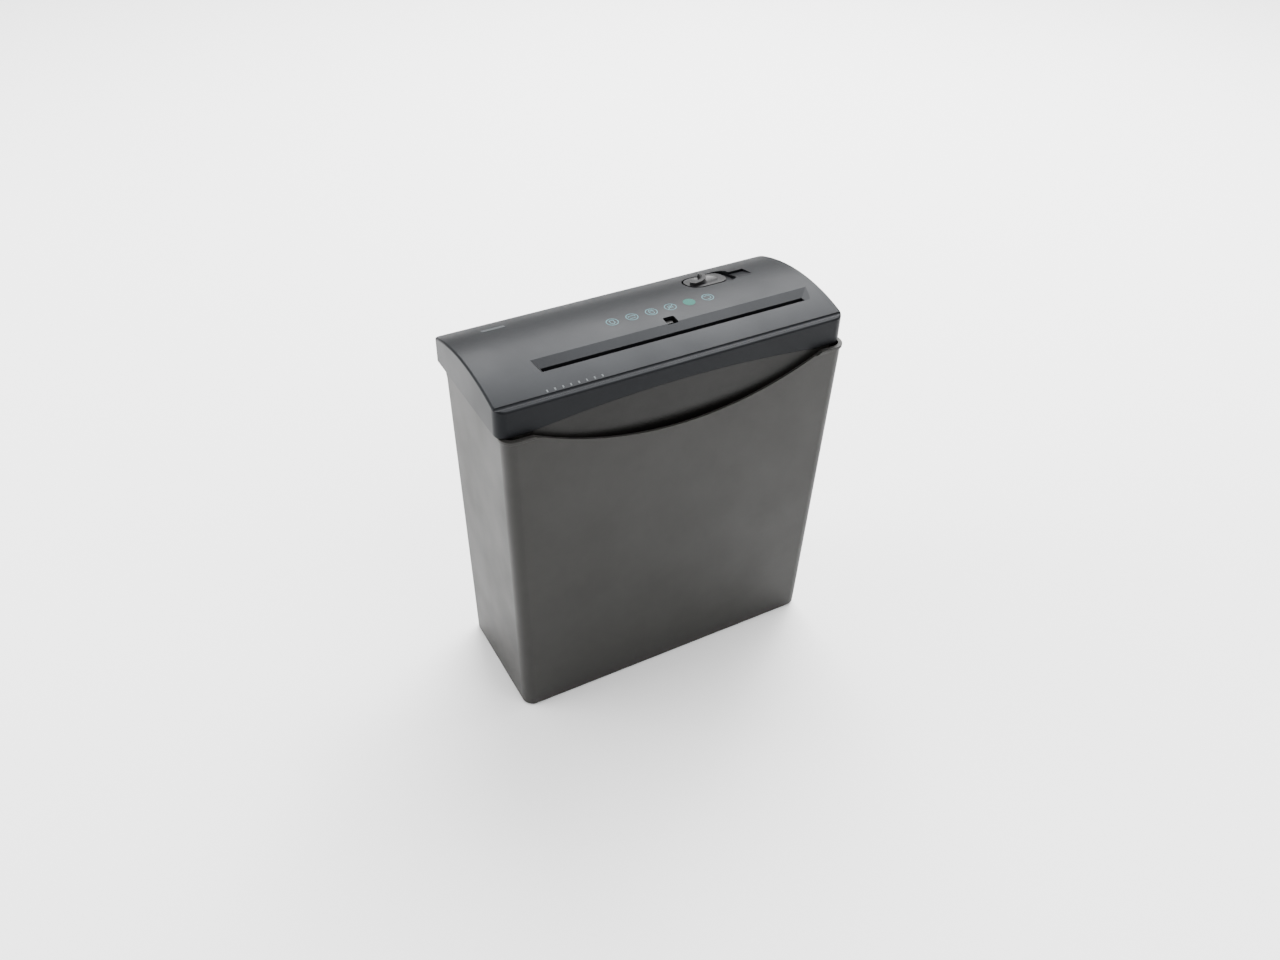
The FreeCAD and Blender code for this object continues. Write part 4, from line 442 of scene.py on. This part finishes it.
def ink_line(path, width, closed):
    """Points and faces of a line of ink: a flat rectangle carried along a path on the lid.

    Each path point moves half the width to either side, along the path's normal in plan,
    and the four corners sit just under and just over the lid's surface.
    """
    if closed:
        ahead = np.roll(path, -1, axis=0) - np.roll(path, 1, axis=0)
    else:
        ahead = np.gradient(path, axis=0)
    ahead /= np.linalg.norm(ahead, axis=1, keepdims=True)
    side = np.stack([-ahead[:, 1], ahead[:, 0]], axis=1) * width / 2
    corners = [(path + side, -INK), (path - side, -INK), (path - side, INK), (path + side, INK)]
    points = np.stack([on_lid(c[:, 0], c[:, 1], lift) for c, lift in corners], axis=1)
    count = len(path)
    faces = grid_faces(count, 4, wrap_rows=closed, wrap_columns=True)[:, ::-1].tolist()
    if not closed:
        last = 4 * (count - 1)
        faces += [[0, 1, 2, 3], [last + 3, last + 2, last + 1, last]]
    return points.reshape(-1, 3), faces


def ink_patch(outline):
    """Points and faces of a filled shape: rings that shrink to its middle, over an underside.

    A ring is the middle plus its share of the way from the middle to the outline.
    """
    middle = outline.mean(axis=0)
    rings = [middle + (outline - middle) * share for share in PATCH_RINGS]
    top = [on_lid(r[:, 0], r[:, 1], INK) for r in rings]
    low = [on_lid(r[:, 0], r[:, 1], -INK) for r in rings]
    points = np.concatenate(low[::-1] + top)
    count = len(outline)
    faces = grid_faces(2 * len(rings), count, wrap_columns=True).tolist()
    faces.append(list(range(count))[::-1])
    faces.append(list(range(len(points) - count, len(points))))
    return points, faces


def joined_piece(name, parts, finish, body):
    """One piece of several lots of points and faces, riding on a body."""
    points, faces, start = [], [], 0
    for lot, lot_faces in parts:
        points.append(lot)
        faces += [[corner + start for corner in face] for face in lot_faces]
        start += len(lot)
    piece = new_mesh(name, np.concatenate(points), faces)
    piece.data.materials.append(finish)
    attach(piece, body)
    return piece


print("ink stands", INK, "m proud, in rings of", PATCH_RINGS.tolist())

# %% [markdown]
# Ink looks flat and slightly chalky. It is a thin layer, so the plastic's grain still
# shows through it, and it wears first where that grain stands up.

# %% Ink
INK_SHINE = 0.06
INK_ROUGHNESS = 0.55
INK_WORN = 0.72
INK_SPECK = 0.9 * MM
INK_GRAIN = 0.5 * MM
INK_GRAIN_DEPTH = 0.02 * MM


def ink(name, colour):
    """Screen-printed ink: an even colour with faint gaps where the grain stands up."""
    made, shader = material(name)
    tree = made.node_tree
    worn = [c * INK_WORN for c in colour]
    print_colour = mix_colours(tree, noise(tree, INK_SPECK, 3), worn, colour)
    tree.links.new(print_colour, shader.inputs["Base Color"])
    shader.inputs["Specular IOR Level"].default_value = INK_SHINE
    shader.inputs["Roughness"].default_value = INK_ROUGHNESS
    bump(tree, shader, noise(tree, INK_GRAIN, 2), INK_GRAIN_DEPTH)
    return made


PALE_INK = ink("pale_ink", (0.085, 0.170, 0.190))
TEAL_INK = ink("teal_ink", (0.020, 0.100, 0.082))
GREY_INK = ink("grey_ink", (0.110, 0.120, 0.125))
print("inks:", [made.name for made in (PALE_INK, TEAL_INK, GREY_INK)])

# %% [markdown]
# Every drawing on the lid is made of straight strokes and parts of circles, in plan and in
# millimetres. The lines of ink above lay them on the curved lid afterwards, so a drawing
# can be thought of as flat.

# %% Strokes
FULL_TURN = 2 * math.pi
HALF_TURN = math.pi


def circle(x, y, radius, count=48, start=0.0, turn=FULL_TURN):
    """Points round a circle, or along part of one.

    Each is the middle plus the radius times the cosine and the sine of its angle.
    """
    angle = start + np.linspace(0, turn, count, endpoint=turn < FULL_TURN)
    return np.stack([x + radius * np.cos(angle), y + radius * np.sin(angle)], axis=1)


def straight(x0, y0, x1, y1, count=8):
    """Evenly spaced points: the start times one less a share, plus the end times the share."""
    share = np.linspace(0, 1, count)[:, None]
    return np.array([x0, y0]) * (1 - share) + np.array([x1, y1]) * share


print("a full circle has", len(circle(0, 0, 1)), "points")

# %% [markdown]
# Five of the lid's six round signs tell what the machine takes and how the switch works.
# Real ones are pictograms; these are plain drawings of our own: a sheet going down, a
# staple, a paper clip, a bar over three fingers, and an arrow that turns back.

# %% Drawings in the signs
def sheet_sign():
    """A sheet outline over an arrow head."""
    return [straight(-1.6, 2.4, -1.6, -0.6),
            straight(1.6, 2.4, 1.6, -0.6),
            straight(-1.6, 2.4, 1.6, 2.4),
            straight(-2.0, -0.9, 0, -2.9),
            straight(2.0, -0.9, 0, -2.9)]


def staple_sign():
    """A staple with its legs down, and a line under it."""
    return [straight(-2.6, 1.4, 2.6, 1.4),
            straight(-2.6, 1.4, -2.6, -0.4),
            straight(2.6, 1.4, 2.6, -0.4),
            straight(-2.4, -1.9, 2.4, -1.9)]


def clip_sign():
    """Two nested half loops, as in a wire clip."""
    return [circle(0, 1.2, 1.7, 16, 0, HALF_TURN),
            circle(0, -1.2, 1.7, 16, HALF_TURN, HALF_TURN),
            straight(-1.7, 1.2, -1.7, -1.2),
            circle(0.2, 0.6, 0.8, 12, 0, HALF_TURN),
            straight(1.7, 1.2, 1.7, -0.4)]


def keep_off_sign():
    """Three fingers and a bar across them."""
    return [straight(-1.5, -1.8, -1.5, 1.6),
            straight(0, -1.8, 0, 2.3),
            straight(1.5, -1.8, 1.5, 1.6),
            straight(-3.3, -3.0, 3.3, 3.0, 12)]


def turn_back_sign():
    """An arc with an arrow head at one end."""
    return [circle(0, 0, 2.4, 20, math.radians(-120), math.radians(260)),
            straight(-2.0, 1.5, -3.1, 2.9),
            straight(-2.0, 1.5, -0.5, 2.4)]


DRAWINGS = [sheet_sign, staple_sign, clip_sign, keep_off_sign, None, turn_back_sign]
print("strokes:", [len(drawing()) for drawing in DRAWINGS if drawing])

# %% [markdown]
# The signs stand in a row behind the throat, each inside a thin ring. The one with no
# drawing is the "on" mark, a full spot of teal. All strokes of a sign are joined into one
# piece, as one print is one piece, and it rides on the head.

# %% Six round signs
SIGN_X = [-25.6, -9.4, 6.8, 22.9, 39.1, 55.3]
SIGN_Y = 3.2
SIGN_R = 4.75
RING_W = 0.6
STROKE = 0.55


def sign_parts(x, drawing):
    """The ring and the strokes of a sign, or its full spot where there is no drawing."""
    if drawing is None:
        return [ink_patch(circle(x, SIGN_Y, SIGN_R) * MM)]
    ring = circle(x, SIGN_Y, SIGN_R - RING_W / 2) * MM
    strokes = [(stroke + [x, SIGN_Y]) * MM for stroke in drawing()]
    return [ink_line(ring, RING_W * MM, True)] + [
        ink_line(stroke, STROKE * MM, False) for stroke in strokes]


for number, (x, drawing) in enumerate(zip(SIGN_X, DRAWINGS), start=1):
    sign_ink = PALE_INK if drawing else TEAL_INK
    joined_piece(f"lid_sign_{number}", sign_parts(x, drawing), sign_ink, "head")
print("signs:", len(SIGN_X))

# %% [markdown]
# Two more prints sit on the lid: a plain badge of two bars near the back left corner and,
# in front of the throat, a short row of ticks that stands for the number of sheets it
# takes at once.

# %% Badge and sheet ticks
BADGE_X, BADGE_Y = (-112.0, -94.0), 41.5
BADGE_OFFSETS, BADGE_BAR_W = (-1.1, 1.1), 0.9
TICKS_X, TICKS_Y, TICK_COUNT = (-101.0, -59.0), -46.6, 8
TICK_HALF, TICK_W = 1.0, 1.1

bars = [straight(BADGE_X[0], BADGE_Y + d, BADGE_X[1], BADGE_Y + d, 20) for d in BADGE_OFFSETS]
bar_parts = [ink_line(bar * MM, BADGE_BAR_W * MM, False) for bar in bars]
joined_piece("lid_badge", bar_parts, GREY_INK, "head")
ticks = [straight(x, TICKS_Y - TICK_HALF, x, TICKS_Y + TICK_HALF, 4)
         for x in np.linspace(*TICKS_X, TICK_COUNT)]
tick_parts = [ink_line(tick * MM, TICK_W * MM, False) for tick in ticks]
joined_piece("sheet_ticks", tick_parts, GREY_INK, "head")
print("badge and", TICK_COUNT, "ticks")
